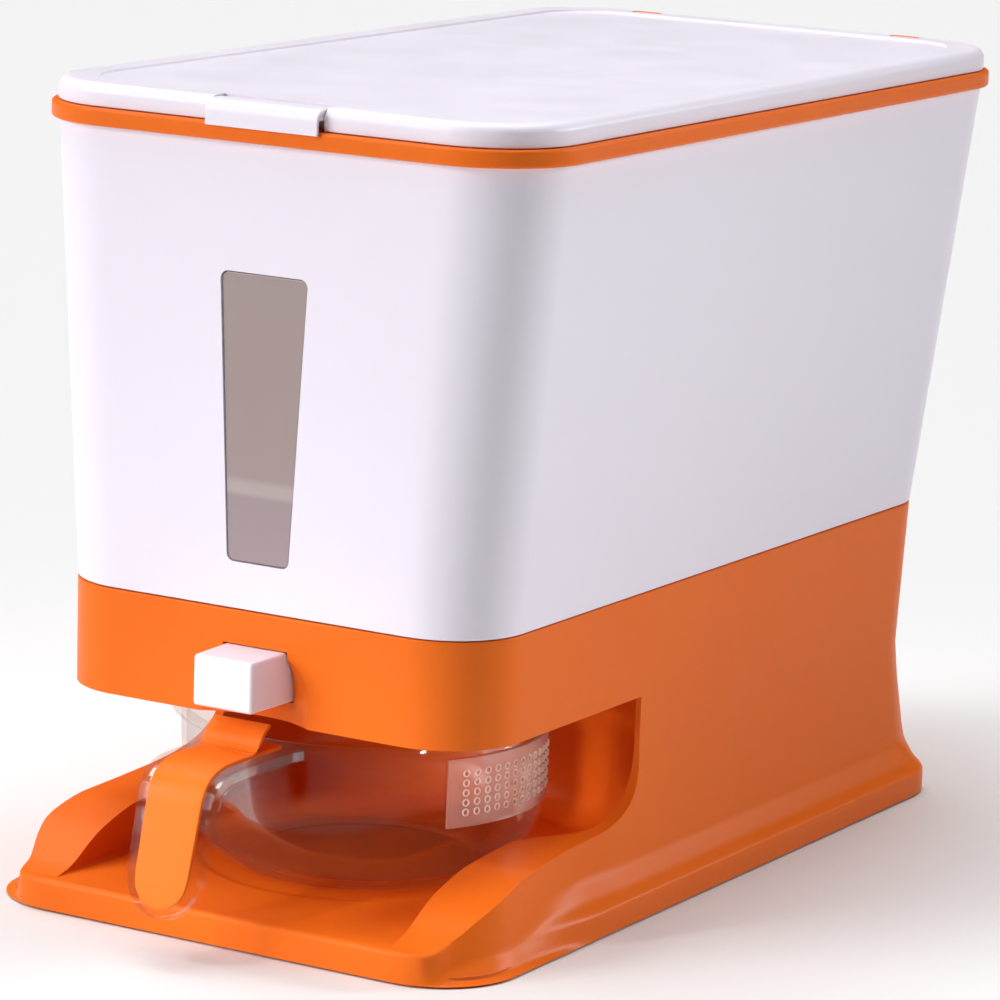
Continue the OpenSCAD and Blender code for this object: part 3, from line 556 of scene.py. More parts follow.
def base_mesh():
    s = Shape()
    stations = skin_stations()
    skin = [skin_column(*st) for st in stations]
    s.grid(skin)
    s.grid([[(o[0] - n[0] * d, o[1] - n[1] * d, z) for o, n, *_ in stations] for d, z in ((0, 0.8), (3.2, 0.8), (3.2, 3.0))])
    # ribbons on the arms and the bay's side edges
    tops = []
    for y, z in side_line:
        xo, xi = arm_x(y, z), edge_in(y)
        tops.append([(xo + (xi - xo) * k / 6, y, z) for k in range(7)])
    up = [60 + (OVER - 60) * i / 4 for i in range(1, 5)]
    for z in up:
        xo, xi = wall(z), 89.5
        tops.append([(xo + (xi - xo) * k / 6, Y_CUT, z) for k in range(7)])
    s.grid(tops)
    # plan of the bay, from the right arm's tip round the rear to the middle
    plan = [(edge_in(y), y) for y, z in side_line]
    a_end = math.degrees(math.atan2(-39.1 - Y_CUP, 89.5))
    rear = catmull([(89.5, Y_CUT), (89.3, -40.5), (88.3, -36.2)] + arc(0, Y_CUP, BAY_R, a_end + 5.5, 90, 14)[1:], 6)
    rear = resample(rear, 40)
    rear[-1] = (0.0, Y_CUP + BAY_R)
    fil = pchip([-181.5, -106, -92, -80, -60, Y_CUT], [1.2, 1.6, 5, 9, 11, 12])
    path = plan + rear[1:]
    heights = [z for y, z in side_line] + [OVER] * (len(rear) - 1)
    NF, NV = 6, 8
    cols, floor_in = [], []
    for i, (x, y) in enumerate(path):
        a, b = path[max(i - 1, 0)], path[min(i + 1, len(path) - 1)]
        tx, ty = b[0] - a[0], b[1] - a[1]
        q = math.hypot(tx, ty)
        nx, ny = -ty / q, tx / q  # into the bay
        if i == len(path) - 1:
            nx, ny = 0.0, -1.0
        if i == 0:
            nx, ny = -1.0, 0.0
        h = heights[i] - FLOOR
        r = min(fil(y) if y < Y_CUT else 12.0, 0.7 * h)
        col = []
        for k in range(NF + 1):
            a = math.radians(90 * k / NF)
            col.append((x + nx * r * (1 - math.sin(a)), y + ny * r * (1 - math.sin(a)), FLOOR + r * (1 - math.cos(a))))
        cols.append(col)
        floor_in.append(col[0])
    n_side = len(plan)
    low = []
    for i, col in enumerate(cols):
        x, y = path[i]
        top = heights[i] if i < n_side else 60.0
        z0 = col[-1][2]
        low.append(col + [(x, y, z0 + (top - z0) * k / NV) for k in range(1, NV + 1)])
    s.grid(low)
    s.grid([[(path[i][0], path[i][1], z) for z in [60.0] + up] for i in range(n_side - 1, len(path))])
    # walls above: rear part, then the front band as far as x = 34; each level is (height, inset)
    tip = [(SEAM - 0.7, 0.0), (SEAM - 0.35, 0.1), (SEAM - 0.1, 0.3), (SEAM, 0.7)]
    levels = [(z, 0.0) for z in [60.0] + up] + [(OVER + (SEAM - 0.7 - OVER) * k / 5, 0.0) for k in range(1, 5)] + tip
    rows = []
    for z, g in levels:
        w, yr, r = wall(z) - g, rear_y(z) - g, 30.0 - g
        rows.append(ring_at(chain(line((w, Y_CUT), (w, yr - r), 16), arc(w - r, yr - r, r, 0, 90, 14), line((w - r, yr), (0, yr), 6)), z))
    s.grid(rows)
    band = []
    for z, g in levels[4:]:
        w, r, yf = wall(z) - g, 30.0 - g, Y_F + g
        band.append(ring_at(chain(line((w, Y_CUT), (w, yf + r), 10), arc(w - r, yf + r, r, 0, -90, 14), line((w - r, yf), (34, yf), 4)), z))
    s.grid(band)
    s.grid([ring_at(line((34, Y_F + g), (0, Y_F + g), 6), z) for z, g in tip])
    top_loop = chain(ring_at(line((0, Y_F + 0.7), (34, Y_F + 0.7), 6), SEAM), reversed(band[-1]), rows[-1][1:])
    k = (wall(SEAM) - 3.4) / wall(SEAM)
    inner = [(x * k, (y - 15) * (1 - 3.4 / 178) + 15, z) for x, y, z in top_loop]
    s.grid([top_loop, inner, [(x, y, z - 9) for x, y, z in inner]])
    # niche round the button
    t1 = math.degrees(math.acos(13.8 / 23.3))
    arch = [(23.3 * math.cos(math.radians(t1 * i / 8)), 90 + 15.8 * math.sin(math.radians(t1 * i / 8))) for i in range(9)]
    z1 = arch[-1][1]
    hole = chain(line((0, 85.8), (13.8, 85.8), 6), line((13.8, 85.8), (13.8, z1), 12))
    mouth = chain(line((0, OVER), (23.3, OVER), 6), line((23.3, OVER), (23.3, 90), 4), arch)
    K = 8
    s.grid([[(a[0] + (b[0] - a[0]) * i / K, dish(a[0] + (b[0] - a[0]) * i / K, a[1] + (b[1] - a[1]) * i / K), a[1] + (b[1] - a[1]) * i / K)
             for a, b in zip(hole, mouth)] for i in range(K + 1)])
    lip = [(x, dish(x, z), z) for x, z in hole] + [(13.8, Y_F, 105.3), (6.9, Y_F, 105.3), (0, Y_F, 105.3)]
    s.grid([lip, [(x, -153.4, z) for x, y, z in lip]])
    zb = [z for z, g in levels[4:] if g == 0.0]
    s.fill([(34, Y_F, z) for z in zb] + ring_at(line((34, Y_F), (0, Y_F), 6), SEAM - 0.7)[1:] + [(0, Y_F, 105.3), (6.9, Y_F, 105.3), (13.8, Y_F, 105.3)]
           + [(x, Y_F, z) for x, z in reversed(arch)] + [(23.3, Y_F, OVER + (90 - OVER) * i / 4) for i in (3, 2, 1, 0)])
    # underside of the overhang, with half of the outlet as a notch in its edge
    outer = [(x, y) for x, y, z in band[0]]
    half = chain([(0.0, Y_CUP + BAY_R)], [(p[0], p[1]) for p in reversed(rear)], [(p[0], p[1]) for p in reversed(tops[-1])], outer,
                 [(x, dish(x, OVER)) for x, z in reversed(mouth[:7])])
    s.fill([(x, y, OVER) for x, y in half] + [(0.0, -96.6, OVER), (20.6, -96.6, OVER), (20.6, -78.4, OVER), (0.0, -78.4, OVER)])
    s.grid([[(x, y, OVER), (x, y, OVER + 3.0)] for x, y in [(0, -96.6), (20.6, -96.6), (20.6, -78.4), (0, -78.4)]])
    # tray floor with the cup's seat
    seat = [[(*p, FLOOR + dz) for p in arc(0, Y_CUP, r, -90, 90, 40)] for r, dz in ((63.0, 0.0), (61.5, -0.12), (60.0, -0.4), (58.5, -0.55))]
    s.grid(seat)
    s.fill(seat[-1])
    lip = [(e[0], e[1], FLOOR) for o, n, e, zt, wf, wr in stations[:22]]
    s.fill(chain(lip, tops[0], floor_in, reversed(seat[0])))
    return s.mirrored()


keep(base_mesh().object("base_shell_vis", weld=0.02, sharp=42), "bin", ORANGE, "base_shell", slot="orange_plastic")

# ------------------------------------------------------------------ hopper and window


def hop(z, g=0.0):
    """Loop of the hopper's wall at height z, g inside its outer face."""
    t = (z - 118.0) / 167.0
    return ring_at(rounded(92.1 + 12.4 * t - g, -163.1 - 0.5 * t + g, 194.9 + 21.5 * t - g, 30 + 2 * t - g, front=(-17, 17)), z)


def flat(w, y0, y1, r, z, **k):
    return ring_at(rounded(w, y0, y1, r, **k), z)


def window_plan(g, n=6):
    """Outline of the window, g larger, as (x, z)."""
    out = []
    for cx, cz, a0 in ((10.2, 138, -90), (15.3, 236, 0), (-15.3, 236, 90), (-10.2, 138, 180)):
        r = 3 + g
        out += [(cx + r * math.cos(math.radians(a0 + 90 * i / n)), cz + r * math.sin(math.radians(a0 + 90 * i / n))) for i in range(n + 1)]
    return out


def hopper_mesh():
    s = Shape()
    F = dict(front=(-17, 17))
    front = lambda x, y, z: y < -163.06 - 0.5 * (z - 118) / 167
    front_in = lambda x, y, z: y < -160.26 - 0.5 * (z - 118) / 167
    gap = lambda x, y, z: abs(x) < 17 and y < -150
    levels = [118.6 + (285 - 118.6) * i / 12 for i in range(13)]
    out = [hop(z) for z in levels]
    # bottom edge, then the walls without their front faces, which are filled round the window
    s.grid([hop(118.0, 0.6), hop(118.1, 0.28), hop(118.3, 0.08), out[0]], closed=True)
    s.grid(out, closed=True, skip=front)
    inn = [hop(z, 2.8) for z in [120.2] + levels[1:]]
    s.grid(inn, closed=True, skip=front_in)
    for rows, g in ((out, 0.0), (inn, 2.8)):
        c = [r for r in rows]
        right = [r[0] for r in c]
        left = [r[-3] for r in c]
        bottom, top = c[0][-2:], c[-1][-2:]
        near = [[(x - math.copysign(4, x), y, z) for x, y, z in side] for side in (right, left)]
        s.grid([right, near[0]])
        s.grid([left, near[1]])
        loop = near[0] + list(reversed(top)) + list(reversed(near[1])) + list(bottom)
        hole = [(x, -163.1 - 0.5 * (z - 118) / 167 + g, z) for x, z in window_plan(0)]
        s.fill(loop, hole)
    s.grid([[(x, -163.1 - 0.5 * (z - 118) / 167 + g, z) for g in (0.0, 2.8)] for x, z in window_plan(0) + window_plan(0)[:1]])
    # collar that the rim clips over, open at the latch
    c0, c1 = hop(285), flat(103.9, -163, 215.8, 31.4, 285, **F)
    c2, c3 = flat(103.9, -163, 215.8, 31.4, 289.2, **F), flat(101.3, -160.4, 213.2, 28.8, 289.2, **F)
    c4, c5 = flat(101.3, -160.4, 213.2, 28.8, 285.05, **F), hop(285, 2.8)
    s.grid([c0, c1], closed=True)
    s.grid([c1, c2, c3, c4], closed=True, skip=gap)
    s.grid([c4, c5], closed=True)
    for x in (-17, 17):
        s.face([(x, -163, 285), (x, -163, 289.2), (x, -160.4, 289.2), (x, -160.4, 285.05)])
    s.face([(-17, -163, 285), (17, -163, 285), (17, -160.4, 285.05), (-17, -160.4, 285.05)])
    # foot: ledge and skirt
    s.grid([inn[0], flat(86.6, -157.6, 189.4, 24.6, 120.2, **F), flat(86.6, -157.6, 189.4, 24.6, 110, **F),
            flat(88.6, -159.6, 190.6, 26.6, 110, **F), flat(88.6, -159.6, 190.6, 26.6, 118, **F), hop(118.0, 0.6)], closed=True)
    for sx in (-1, 1):
        for y in (60, 150):
            ring = lambda r, z: [(sx * 84 + r * math.cos(math.tau * i / 24), y + r * math.sin(math.tau * i / 24), z) for i in range(24)]
            s.grid([ring(1.5, 119), ring(1.5, 107), ring(4, 107), ring(4, 119)], closed=True)
    return s


hopper = hopper_mesh().object("hopper_body_vis", sharp=42)
keep(hopper, "bin", WHITE, "hopper_body", slot="white_plastic")


def slab(g, y0, y1):
    s = Shape()
    rows = [[(x, y, z) for x, z in window_plan(g)] for y in (y0, y1)]
    s.grid(rows, closed=True)
    return s.fill(rows[0]).fill(rows[1])


pane = slab(-0.4, -162.8, -161.0).add(slab(1.9, -161.4, -160.0)).object("sight_window_vis", bevel=0.35, segments=3, sharp=None)
keep(pane, "bin", SMOKED, "sight_window", slot="smoked_clear")

# ------------------------------------------------------------------ rim


def rim_mesh():
    s = Shape()
    F = dict(front=(-15, 15))
    o = lambda g, z: flat(107.5 - g, -166.6 + g, 219.4 - g, 35 - g, z, **F)
    edge = [(1.2 * (1 - math.cos(math.radians(a))), 1.2 * (1 - math.sin(math.radians(a)))) for a in (90, 68, 45, 22, 0)]
    gap = lambda x, y, z: abs(x) < 15 and y < -150
    pocket = lambda x, y, z: gap(x, y, z)
    A, B = lambda z: flat(104.3, -163.4, 216.2, 31.8, z, **F), lambda z: flat(100.9, -160, 212.8, 28.4, z, **F)
    top = [A(291.4)] + [o(g, 291.4 - d) for g, d in edge] + [o(g, 285 + d) for g, d in reversed(edge)] + [A(285), A(289.6)]
    s.grid(top, closed=True)
    s.grid([A(289.6), B(289.6)], closed=True, skip=pocket)
    inner = lambda g, z: flat(98.5 + g, -153 - g, 203 + g, 24 + g, z, **F)
    s.grid([B(289.6), B(285), inner(0.6, 285), inner(0.15, 285.2), inner(0, 285.6), inner(0, 290.8), inner(0.15, 291.2), inner(0.6, 291.4), B(291.4)], closed=True)
    s.grid([B(291.4), A(291.4)], closed=True, skip=pocket)
    for y in (-163.4, -160.0):
        s.face([(-15, y, 289.6), (15, y, 289.6), (15, y, 291.4), (-15, y, 291.4)])
    for x in (-15, 15):
        s.face([(x, -163.4, 289.6), (x, -160, 289.6), (x, -160, 291.4), (x, -163.4, 291.4)])
    prof = [(211.6, 291.2), (216.4, 291.2)] + [(214 + 3 * math.cos(math.radians(a)), 297 + 3 * math.sin(math.radians(a))) for a in range(-30, 211, 15)]
    for sx in (-1, 1):
        s.add(prism(prof, sx * 60 - 6, sx * 60 + 6))
    return s


keep(rim_mesh().object("rim_ring_vis", sharp=42), "bin", ORANGE, "rim_ring", slot="orange_plastic")

# ------------------------------------------------------------------ lid and latch


def lid_mesh():
    s = Shape()
    FR = dict(front=(-23.9, 23.9), rear=(-66.5, -53.5, 53.5, 66.5))

    def lp(g, z, cut=False):
        return [(x, min(y, 214.0) if cut else y, z) for x, y in rounded(105.3 - g, -164.2 + g, 217.2 - g, 33 - g, **FR)]

    steps = [14.478, 24, 34, 44, 54, 64, 74, 82, 90]
    rows = [lp(0.45, 291.7, True), lp(0.12, 291.85, True), lp(0, 292.2, True), lp(0, 296, True)]
    soft = [(4.2 * (1 - math.cos(math.radians(a))), 296 + 4 * math.sin(math.radians(a))) for a in steps]
    rows += [lp(soft[0][0], 297, True)] + [lp(g, z) for g, z in soft]
    notch = lambda x, y, z: (abs(x) < 23.9 and y < -155) or (53.5 < abs(x) < 66.5 and y > 205)
    s.grid(rows, closed=True, skip=notch)

    def outline(row):
        out, n = [], len(row)
        for i, (x, y, z) in enumerate(row):
            out.append((x, y, z))
            x2, y2 = row[(i + 1) % n][:2]
            if abs(x + x2) < 1 and y < -150 and abs(x) < 24.5 and abs(x2) < 24.5:
                out += [(x, -155.0, z), (x2, -155.0, z)]
            elif y > 205 and y2 > 205 and {round(abs(x), 1), round(abs(x2), 1)} == {53.5, 66.5}:
                out += [(x, 209.8, z), (x2, 209.8, z)]
        return out

    d0, d1 = flat(92, -151, 204, 24, 300), flat(91.2, -150.2, 203.2, 23.2, 299.2)
    near, around = lp(5.4, 300), flat(93, -152, 205, 25, 300)
    s.grid([rows[-1], near], closed=True, skip=notch)
    rows.append(near)
    s.fill(outline(near), around)
    s.grid([around, d0], closed=True)
    s.grid([d0, flat(91.8, -150.8, 203.8, 23.8, 299.75), flat(91.45, -150.45, 203.45, 23.45, 299.4), d1], closed=True)
    d2 = flat(88, -147, 200, 20, 299.2)
    s.grid([d1, d2], closed=True)
    s.fill(d2)
    rib = lambda g, z: flat(95 - g, -149.5 + g, 199.5 - g, 20.5 - g, z)
    s.fill(outline(rows[0]), rib(0, 291.7))
    s.grid([rib(0, 291.7), rib(0, 287.4), rib(0.4, 287), rib(1.8, 287), rib(2.2, 287.4), rib(2.2, 297.3)], closed=True)
    s.fill(rib(2.2, 297.3))
    for xs, yw, ahead in (((-23.9, 23.9), -155.0, True), ((-66.5, -53.5), 209.8, False), ((53.5, 66.5), 209.8, False)):
        s.face([(xs[0], yw, 291.7), (xs[1], yw, 291.7), (xs[1], yw, 300), (xs[0], yw, 300)])
        for x in xs:
            pts = []
            for r in rows:
                q = [p for p in r if abs(p[0] - x) < 0.01 and (p[1] < 0) == ahead]
                pts.append(q[0])
            s.fill([(x, yw, 291.7)] + pts + [(x, yw, 300)])
    ring = [(214 + 2.9 * math.cos(math.tau * i / 32), 297 + 2.9 * math.sin(math.tau * i / 32)) for i in range(32)]
    for a, b in ((-71, -66.5), (-53.5, 53.5), (66.5, 71)):
        s.add(prism(ring, a, b))
    return s


keep(lid_mesh().object("lid_vis", sharp=42), "lid", WHITE, "lid", slot="white_plastic")

prof = [(-157.6, 299.4), (-163.4, 299.5), (-165.0, 299.3), (-166.3, 298.7), (-167.3, 297.7), (-167.9, 296.4), (-168.1, 295.0), (-168.1, 290.6), (-167.95, 290.3), (-167.6, 290.2),
        (-167.3, 290.2), (-167.0, 290.35), (-166.9, 290.7), (-166.9, 295.4), (-158.4, 295.4)]
prof += [(-157.6 + 2 * math.cos(math.radians(a)), 297.4 + 2 * math.sin(math.radians(a))) for a in range(-80, 81, 20)]
latch = prism(prof, -23.5, 23.5)
latch.add(prism([(-162, 295.6), (-162, 290.2), (-162.2, 290.1), (-162.2, 289.2), (-161.7, 288.6), (-160.9, 288.6), (-160.5, 289.0), (-160.5, 295.6)], -14, 14))
keep(latch.object("lid_latch_vis", bevel=0.5, bevel_angle=50, segments=3, sharp=None), "latch", WHITE, "lid_latch", slot="white_plastic")

# ------------------------------------------------------------------ button and spring


def rrect(hx, z0, z1, r, n=4):
    """Closed rounded rectangle in (x, z)."""
    out = []
    for cx, cz, a0 in ((hx - r, z0 + r, -90), (hx - r, z1 - r, 0), (-hx + r, z1 - r, 90), (-hx + r, z0 + r, 180)):
        out += [(cx + r * math.cos(math.radians(a0 + 90 * i / n)), cz + r * math.sin(math.radians(a0 + 90 * i / n))) for i in range(n + 1)]
    return out


def button_mesh():
    s = Shape()
    rows = []
    for y, hx, z0, z1, r in ((-183.8, 11.3, 87.3, 103.5, 1.0), (-183.65, 11.8, 86.75, 104.05, 1.1), (-183.2, 12.2, 86.3, 104.5, 1.2), (-182.5, 12.45, 86.1, 104.7, 1.2),
                             (-168, 12.95, 86.1, 104.8, 1.2), (-153.1, 13.35, 86.2, 104.9, 1.2)):
        rows.append([(x, y, z) for x, z in rrect(hx, z0, z1, r)])
    s.grid(rows, closed=True).fill(rows[0]).fill(rows[-1])
    s.add(block(-16, 16, -153.1, -151.5, 84.6, 106))
    for sx in (-1, 1):
        ring = lambda y: [(sx * 5.5 + 3 * math.cos(math.tau * i / 24), y, 94.6 + 3 * math.sin(math.tau * i / 24)) for i in range(24)]
        s.grid([ring(-152.2), ring(-151.5)], closed=True)
    return s


keep(button_mesh().object("push_button_vis", sharp=42), "button", WHITE, "push_button", slot="white_plastic")


def coil(r, w, y0, length, turns, n=20, m=8):
    s = Shape()
    rows = []
    for i in range(n * turns + 1):
        a = math.tau * i / n
        y = y0 + w + (length - 2 * w) * i / (n * turns)
        rows.append([((r + w * math.cos(math.tau * j / m)) * math.cos(a), y + w * math.sin(math.tau * j / m), 91.6 + (r + w * math.cos(math.tau * j / m)) * math.sin(a)) for j in range(m)])
    s.grid(rows, closed=True).face(rows[0]).face(rows[-1])
    return s


spring = keep(coil(3.2, 0.45, -58.9, 24.8, 8).object("button_spring_vis", weighted=False), "bin", STEEL, "button_spring", slot="screw_steel")
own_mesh(spring)

# ------------------------------------------------------------------ cup, strainer and handle

BOWL_OUT = [(0.0, 13.6), (20, 13.6), (39.6, 13.6), (40.6, 13.2), (41.2, 12.6), (42, 12.3), (45, 12.3), (47.6, 12.3), (48.8, 12.6), (50.5, 13.7), (54, 16.0), (57.5, 19.0), (60.6, 22.4),
            (63.2, 26.6), (65.2, 31.4), (66.3, 35.4), (66.9, 39.0), (67.3, 44), (67.7, 50), (68.0, 56), (68.25, 61), (68.35, 65), (68.4, 66.4), (68.7, 67.3), (69.5, 67.9),
            (70.6, 68.2), (71.4, 68.5), (71.9, 69.0), (72.0, 69.6), (71.85, 70.1), (71.4, 70.45), (70.8, 70.5), (68.6, 70.5), (67.2, 70.4), (66.6, 70.1), (66.4, 69.6)]
BOWL_IN = [(66.4, 69.6), (66.32, 65), (66.25, 61), (66.2, 56), (65.95, 50), (65.6, 44), (65.1, 39.0), (64.6, 35.6), (63.5, 31.8), (61.6, 27.3), (59.2, 23.6), (56.4, 20.6), (53, 18.0),
           (49.5, 16.1), (46.8, 15.5), (44, 15.4), (20, 15.4), (0.0, 15.4)]
STEP = 4


def cup_mesh():
    s = Shape()
    turn = [math.radians(STEP * i) for i in range(360 // STEP)]
    spun = lambda r, z: [(r * math.cos(a), Y_CUP + r * math.sin(a), z) for a in turn]
    hole = lambda x, y, z: 39 < z < 65 and abs(math.degrees(math.atan2(y - Y_CUP, x))) < 32
    s.grid([spun(r, z) for r, z in BOWL_OUT[1:]], closed=True, skip=hole)
    s.grid([spun(r, z) for r, z in BOWL_IN[:-1]], closed=True, skip=hole)
    s.fill(spun(*BOWL_OUT[1])).fill(spun(*BOWL_IN[-2]))
    for z, ro, ri in ((39.0, 66.9, 65.1), (65.0, 68.35, 66.32)):
        span = [a for a in turn if a < math.radians(32.1)]
        for sg in (-1, 1):
            s.grid([[(r * math.cos(a), Y_CUP + sg * r * math.sin(a), z) for a in span] for r in (ro, ri)])
    for sg in (-1, 1):
        a = math.radians(32) * sg
        pts = [p for p in BOWL_OUT if 38.9 < p[1] < 65.1] + [p for p in BOWL_IN if 38.9 < p[1] < 65.1]
        s.fill([(r * math.cos(a), Y_CUP + r * math.sin(a), z) for r, z in pts])
    return s


class Run:
    """The handle's outer line in side view: place(s, depth) is the (y, z) at distance s along it and depth inside it."""

    def __init__(self, pts):
        self.p = resample(catmull(pts, 20), 400)
        self.d = math.dist(self.p[0], self.p[1])
        self.length = self.d * 400

    def place(self, s, depth):
        k = min(max(s / self.d, 0.0), 399.999)
        i = int(k)
        a, b = self.p[i], self.p[i + 1]
        lo, hi = self.p[max(0, i - 2)], self.p[min(400, i + 3)]
        q = math.dist(lo, hi)
        ty, tz = (hi[0] - lo[0]) / q, (hi[1] - lo[1]) / q
        return a[0] + (b[0] - a[0]) * (k - i) - tz * depth, a[1] + (b[1] - a[1]) * (k - i) + ty * depth


RUN = Run([(-156.4, 70.5), (-166, 70.5), (-180, 70.5), (-191, 70.5), (-198.2, 70.1), (-203.8, 68.6), (-208.2, 65.6), (-210.9, 61.2), (-213.0, 54), (-217.8, 36), (-222.4, 18.6)])
wide = pchip([0, 6, 30, 60, RUN.length], [18.6, 17.2, 17.0, 15.8, 14.6])
R_END = 14.6


def end_rows(start, step, r_end):
    """Distances along the run with the half width of a round end of radius r_end, as (s, sine, cosine); sine 0 before the end."""
    stop = RUN.length - r_end
    n = max(2, round((stop - start) / step))
    rows = [(start + (stop - start) * i / n, 0.0, 1.0) for i in range(n)]
    return rows + [(stop + r_end * math.sin(math.radians(t)), math.sin(math.radians(t)), math.cos(math.radians(t))) for t in (0, 10, 20, 30, 40, 50, 58, 65, 72, 78, 83, 87)]


def channel_mesh():
    s = Shape()
    rows = []
    for q, sn, cs in end_rows(0, 2.0, R_END):
        w = wide(q) if not sn else R_END * cs
        wi = w - 1.3 if not sn else math.sqrt(max(0.0004, 13.3 ** 2 - (R_END * sn) ** 2))
        wi = min(wi, w - 0.02)
        k = min(0.5, w * 0.4)
        depth = 5.4
        sec = [(-w, 0.5), (-w + k * 0.3, 0.15), (-w + k, 0.0), (w - k, 0.0), (w - k * 0.3, 0.15), (w, 0.5), (w, depth), (wi, depth), (wi, 2.0), (-wi, 2.0), (-wi, depth), (-w, depth)]
        rows.append([(x, *RUN.place(q, d)) for x, d in sec])
    s.grid(rows, closed=True).fill(rows[0]).fill(rows[-1])
    return s


def insert_mesh():
    s = Shape()
    rows = []
    RI = 10.9
    lim = RUN.length - 3.4
    half = pchip([0, 30, 60, RUN.length], [12.0, 12.0, 11.5, RI])
    n = 40
    plan = [(6.0 + (lim - RI - 6.0) * i / n, None) for i in range(n)] + [(lim - RI + RI * math.sin(math.radians(t)), RI * math.cos(math.radians(t))) for t in (0, 10, 20, 30, 40, 50, 60, 68, 76, 82, 86)]
    for q, w in plan:
        w = half(q) if w is None else w
        sec = [(-1, 0.8), (-1, -0.2), (-0.985, -0.42), (-0.95, -0.56), (-0.8, -0.66), (-0.4, -0.74), (0, -0.78), (0.4, -0.74), (0.8, -0.66), (0.95, -0.56), (0.985, -0.42), (1, -0.2), (1, 0.8)]
        rows.append([(x * w, *RUN.place(q, d)) for x, d in sec])
    s.grid(rows, closed=True).fill(rows[0]).fill(rows[-1])
    # thumb tab
    mid = catmull([(-180.6, 70.6), (-178.6, 71.2), (-177.0, 72.6), (-175.4, 75.0), (-172.8, 77.8), (-169.8, 79.7)], 6)
    a, b = [], []
    for i, p in enumerate(mid):
        u, v = mid[max(0, i - 1)], mid[min(len(mid) - 1, i + 1)]
        q = math.dist(u, v)
        ny, nz = -(v[1] - u[1]) / q, (v[0] - u[0]) / q
        a.append((p[0] + ny * 0.8, p[1] + nz * 0.8))
        b.append((p[0] - ny * 0.8, p[1] - nz * 0.8))
    return s, prism(a + list(reversed(b)), -12, 12)


cup = cup_mesh().object("cup_bowl_vis", sharp=50)
keep(cup, "cup", CLEAR, "cup_bowl", slot="clear_plastic")
keep(channel_mesh().object("cup_handle_vis", sharp=50), "cup", CLEAR, "cup_bowl", slot="clear_plastic")
strip, tab = insert_mesh()
keep(strip.object("handle_insert_vis", sharp=60), "cup", ORANGE, "handle_insert", slot="orange_plastic")
keep(tab.object("thumb_tab_vis", bevel=0.5, bevel_angle=50, segments=3), "cup", ORANGE, "handle_insert", slot="orange_plastic")


def strainer_mesh():
    s, collars = Shape(), Shape()
    NA, NZ = 15, 7
    a0, z0, da, dz = -31.4, 39.3, 62.8 / 15, 25.4 / 7
    at = lambda i, j, r: (r * math.cos(math.radians(a0 + da * i)), Y_CUP + r * math.sin(math.radians(a0 + da * i)), z0 + dz * j)
    for r in (67.5, 66.3):
        for i in range(NA):
            for j in range(NZ):
                rim = [at(i + x, j + y, r) for x, y in ((0, 0), (0.5, 0), (1, 0), (1, 0.5), (1, 1), (0.5, 1), (0, 1), (0, 0.5))]
                if 0 < i < NA - 1 and 0 < j < NZ - 1:
                    hole = [at(i + 0.5 + 0.9 / 4.93 * math.cos(math.radians(t)), j + 0.5 + 0.9 / 3.63 * math.sin(math.radians(t)), r) for t in range(225, 585, 45)]
                    s.grid([rim + rim[:1], hole + hole[:1]])
                    if r > 67:
                        inner = [at(i + 0.5 + 0.9 / 4.93 * math.cos(math.radians(t)), j + 0.5 + 0.9 / 3.63 * math.sin(math.radians(t)), 66.3) for t in range(225, 585, 45)]
                        s.grid([hole + hole[:1], inner + inner[:1]])
                else:
                    s.face(rim)
                if 0 < i < NA - 1 and 0 < j < NZ - 1 and r > 67:
                    # a low collar round every hole, coloured near-white as a painted highlight for the light at the
                    # holes
                    loops = []
                    for q, rr in ((0.9, 67.4), (0.92, 67.9), (1.15, 68.1), (1.4, 67.95), (1.5, 67.4)):
                        loops.append([at(i + 0.5 + q / 4.93 * math.cos(math.radians(t)), j + 0.5 + q / 3.63 * math.sin(math.radians(t)), rr) for t in range(0, 390, 30)])
                    collars.grid(loops)
    edge = [(i / 2, 0) for i in range(2 * NA)] + [(NA, j / 2) for j in range(2 * NZ)] + [(NA - i / 2, NZ) for i in range(2 * NA)] + [(0, NZ - j / 2) for j in range(2 * NZ)]
    s.grid([[at(i, j, 67.5) for i, j in edge + edge[:1]], [at(i, j, 66.3) for i, j in edge + edge[:1]]])
    return s, collars


plate, collars = strainer_mesh()
keep(plate.object("strainer_panel_vis", weighted=False, sharp=50), "cup", STRAINER, "strainer_panel", slot="strainer_plastic")
# the collars carry a painted highlight round the holes
keep(collars.object("strainer_collars_vis", weighted=False, sharp=60), "cup", GLINT_COLLAR, "strainer_panel", slot="strainer_plastic")



# ------------------------------------------------------------------ camera, light, floor

AZ, EL, ROLL = map(math.radians, (30.6, 11.4, 2.0))
back = Vector((math.sin(AZ) * math.cos(EL), -math.cos(AZ) * math.cos(EL), math.sin(EL)))
right = Vector((math.cos(AZ), math.sin(AZ), 0))
up = back.cross(right)
r2 = right * math.cos(ROLL) + up * math.sin(ROLL)
u2 = -right * math.sin(ROLL) + up * math.cos(ROLL)
cam_data = bpy.data.cameras.new("camera")
cam_data.sensor_width = 36
cam_data.lens = 179.086
cam_data.clip_start, cam_data.clip_end = 0.05, 60
cam = bpy.data.objects.new("camera", cam_data)
bpy.context.scene.collection.objects.link(cam)
rot = Matrix((r2, u2, back)).transposed().to_4x4()
cam.matrix_world = Matrix.Translation(Vector((0.949708, -1.601795, 0.508762))) @ rot
bpy.context.scene.camera = cam

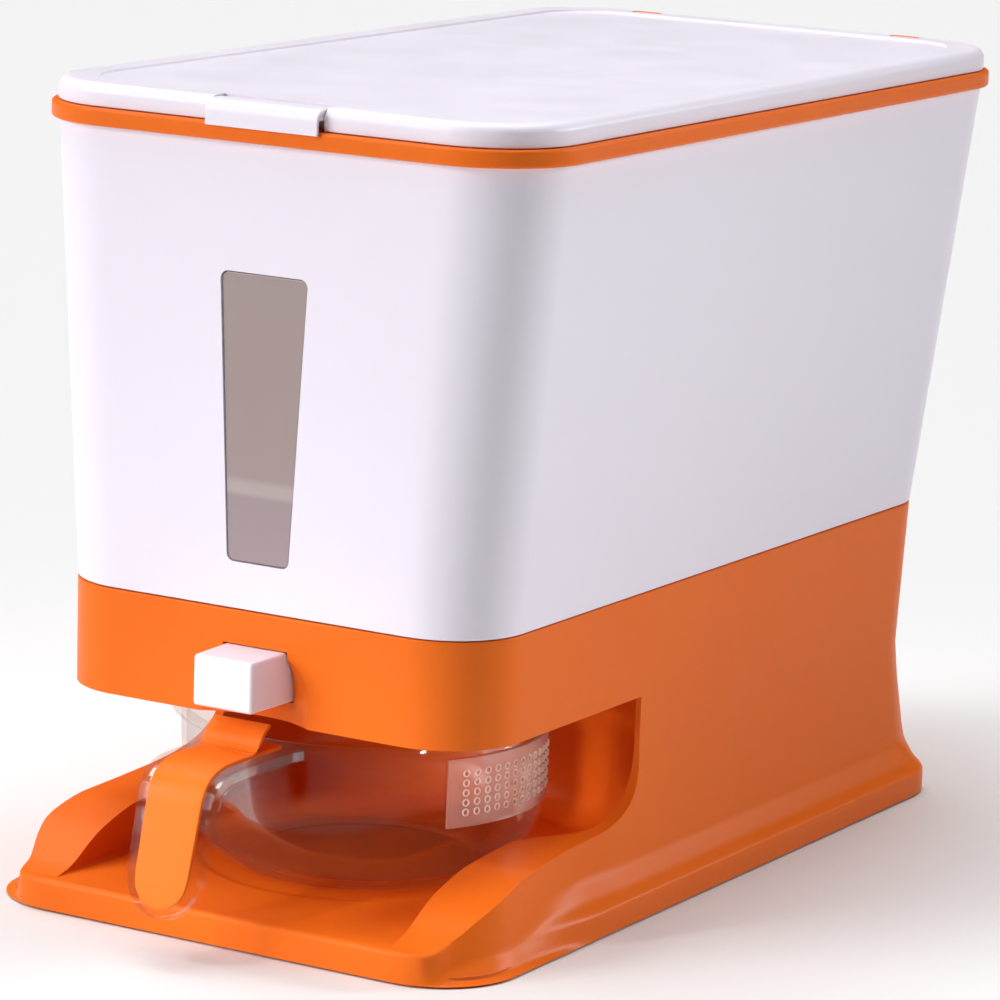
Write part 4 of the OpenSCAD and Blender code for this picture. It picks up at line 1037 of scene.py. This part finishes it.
floor_mat = bpy.data.materials.new("floor")
floor_mat.use_nodes = True
floor_mat.node_tree.nodes["Principled BSDF"].inputs["Base Color"].default_value = (0.77, 0.77, 0.77, 1)
floor_mat.node_tree.nodes["Principled BSDF"].inputs["Roughness"].default_value = 0.7
bpy.ops.mesh.primitive_plane_add(size=30, location=(0, 0, 0))
floor = bpy.context.object
floor.name = "stage_floor"
floor.data.materials.append(floor_mat)


def direction(az, el):
    """Unit vector towards azimuth az (0 is +X, -90 the front) and elevation el."""
    a, e = math.radians(az), math.radians(el)
    return Vector((math.cos(a) * math.cos(e), math.sin(a) * math.cos(e), math.sin(e)))


def sun(name, az, el, strength, angle, color=(1, 1, 1)):
    d = bpy.data.lights.new(name, "SUN")
    d.energy, d.angle, d.color = strength * math.pi, math.radians(angle), color
    o = bpy.data.objects.new(name, d)
    bpy.context.scene.collection.objects.link(o)
    o.rotation_euler = direction(az, el).to_track_quat("Z", "Y").to_euler()
    return o


def spot(name, loc, aim, level, half, radius, color=(1, 1, 1)):
    d = bpy.data.lights.new(name, "SPOT")
    r = (Vector(loc) - Vector(aim)).length
    d.energy, d.spot_size, d.spot_blend = level * 4 * math.pi ** 2 * r * r, math.radians(2 * half), 1.0
    d.shadow_soft_size, d.color = radius, color
    o = bpy.data.objects.new(name, d)
    bpy.context.scene.collection.objects.link(o)
    o.location = loc
    o.rotation_euler = (Vector(aim) - Vector(loc)).to_track_quat("-Z", "Y").to_euler()
    return o


sun("key", -133, 22, 0.66, 30)
sun("top", 150, 78, 0.98, 60)
aim = Vector((0.1, -0.28, 0.12))
spot("side", aim + direction(50, 20) * 2.7, aim, 0.66, 10.5, 0.35)
tray = Vector((0.03, -0.16, 0.02))
spot("tray", tray + direction(-115, 50) * 2.4, tray, 0.22, 3.4, 0.06)
bay = Vector((0.02, -0.11, 0.03))
spot("bay", bay + direction(-97, 7) * 2.4, bay, 0.45, 2.0, 0.05)
world = bpy.data.worlds.new("world")
world.use_nodes = True
world.node_tree.nodes["Background"].inputs["Color"].default_value = (1, 1, 1, 1)
world.node_tree.nodes["Background"].inputs["Strength"].default_value = 0.02
bpy.context.scene.world = world
bpy.context.scene.view_settings.view_transform = "Standard"
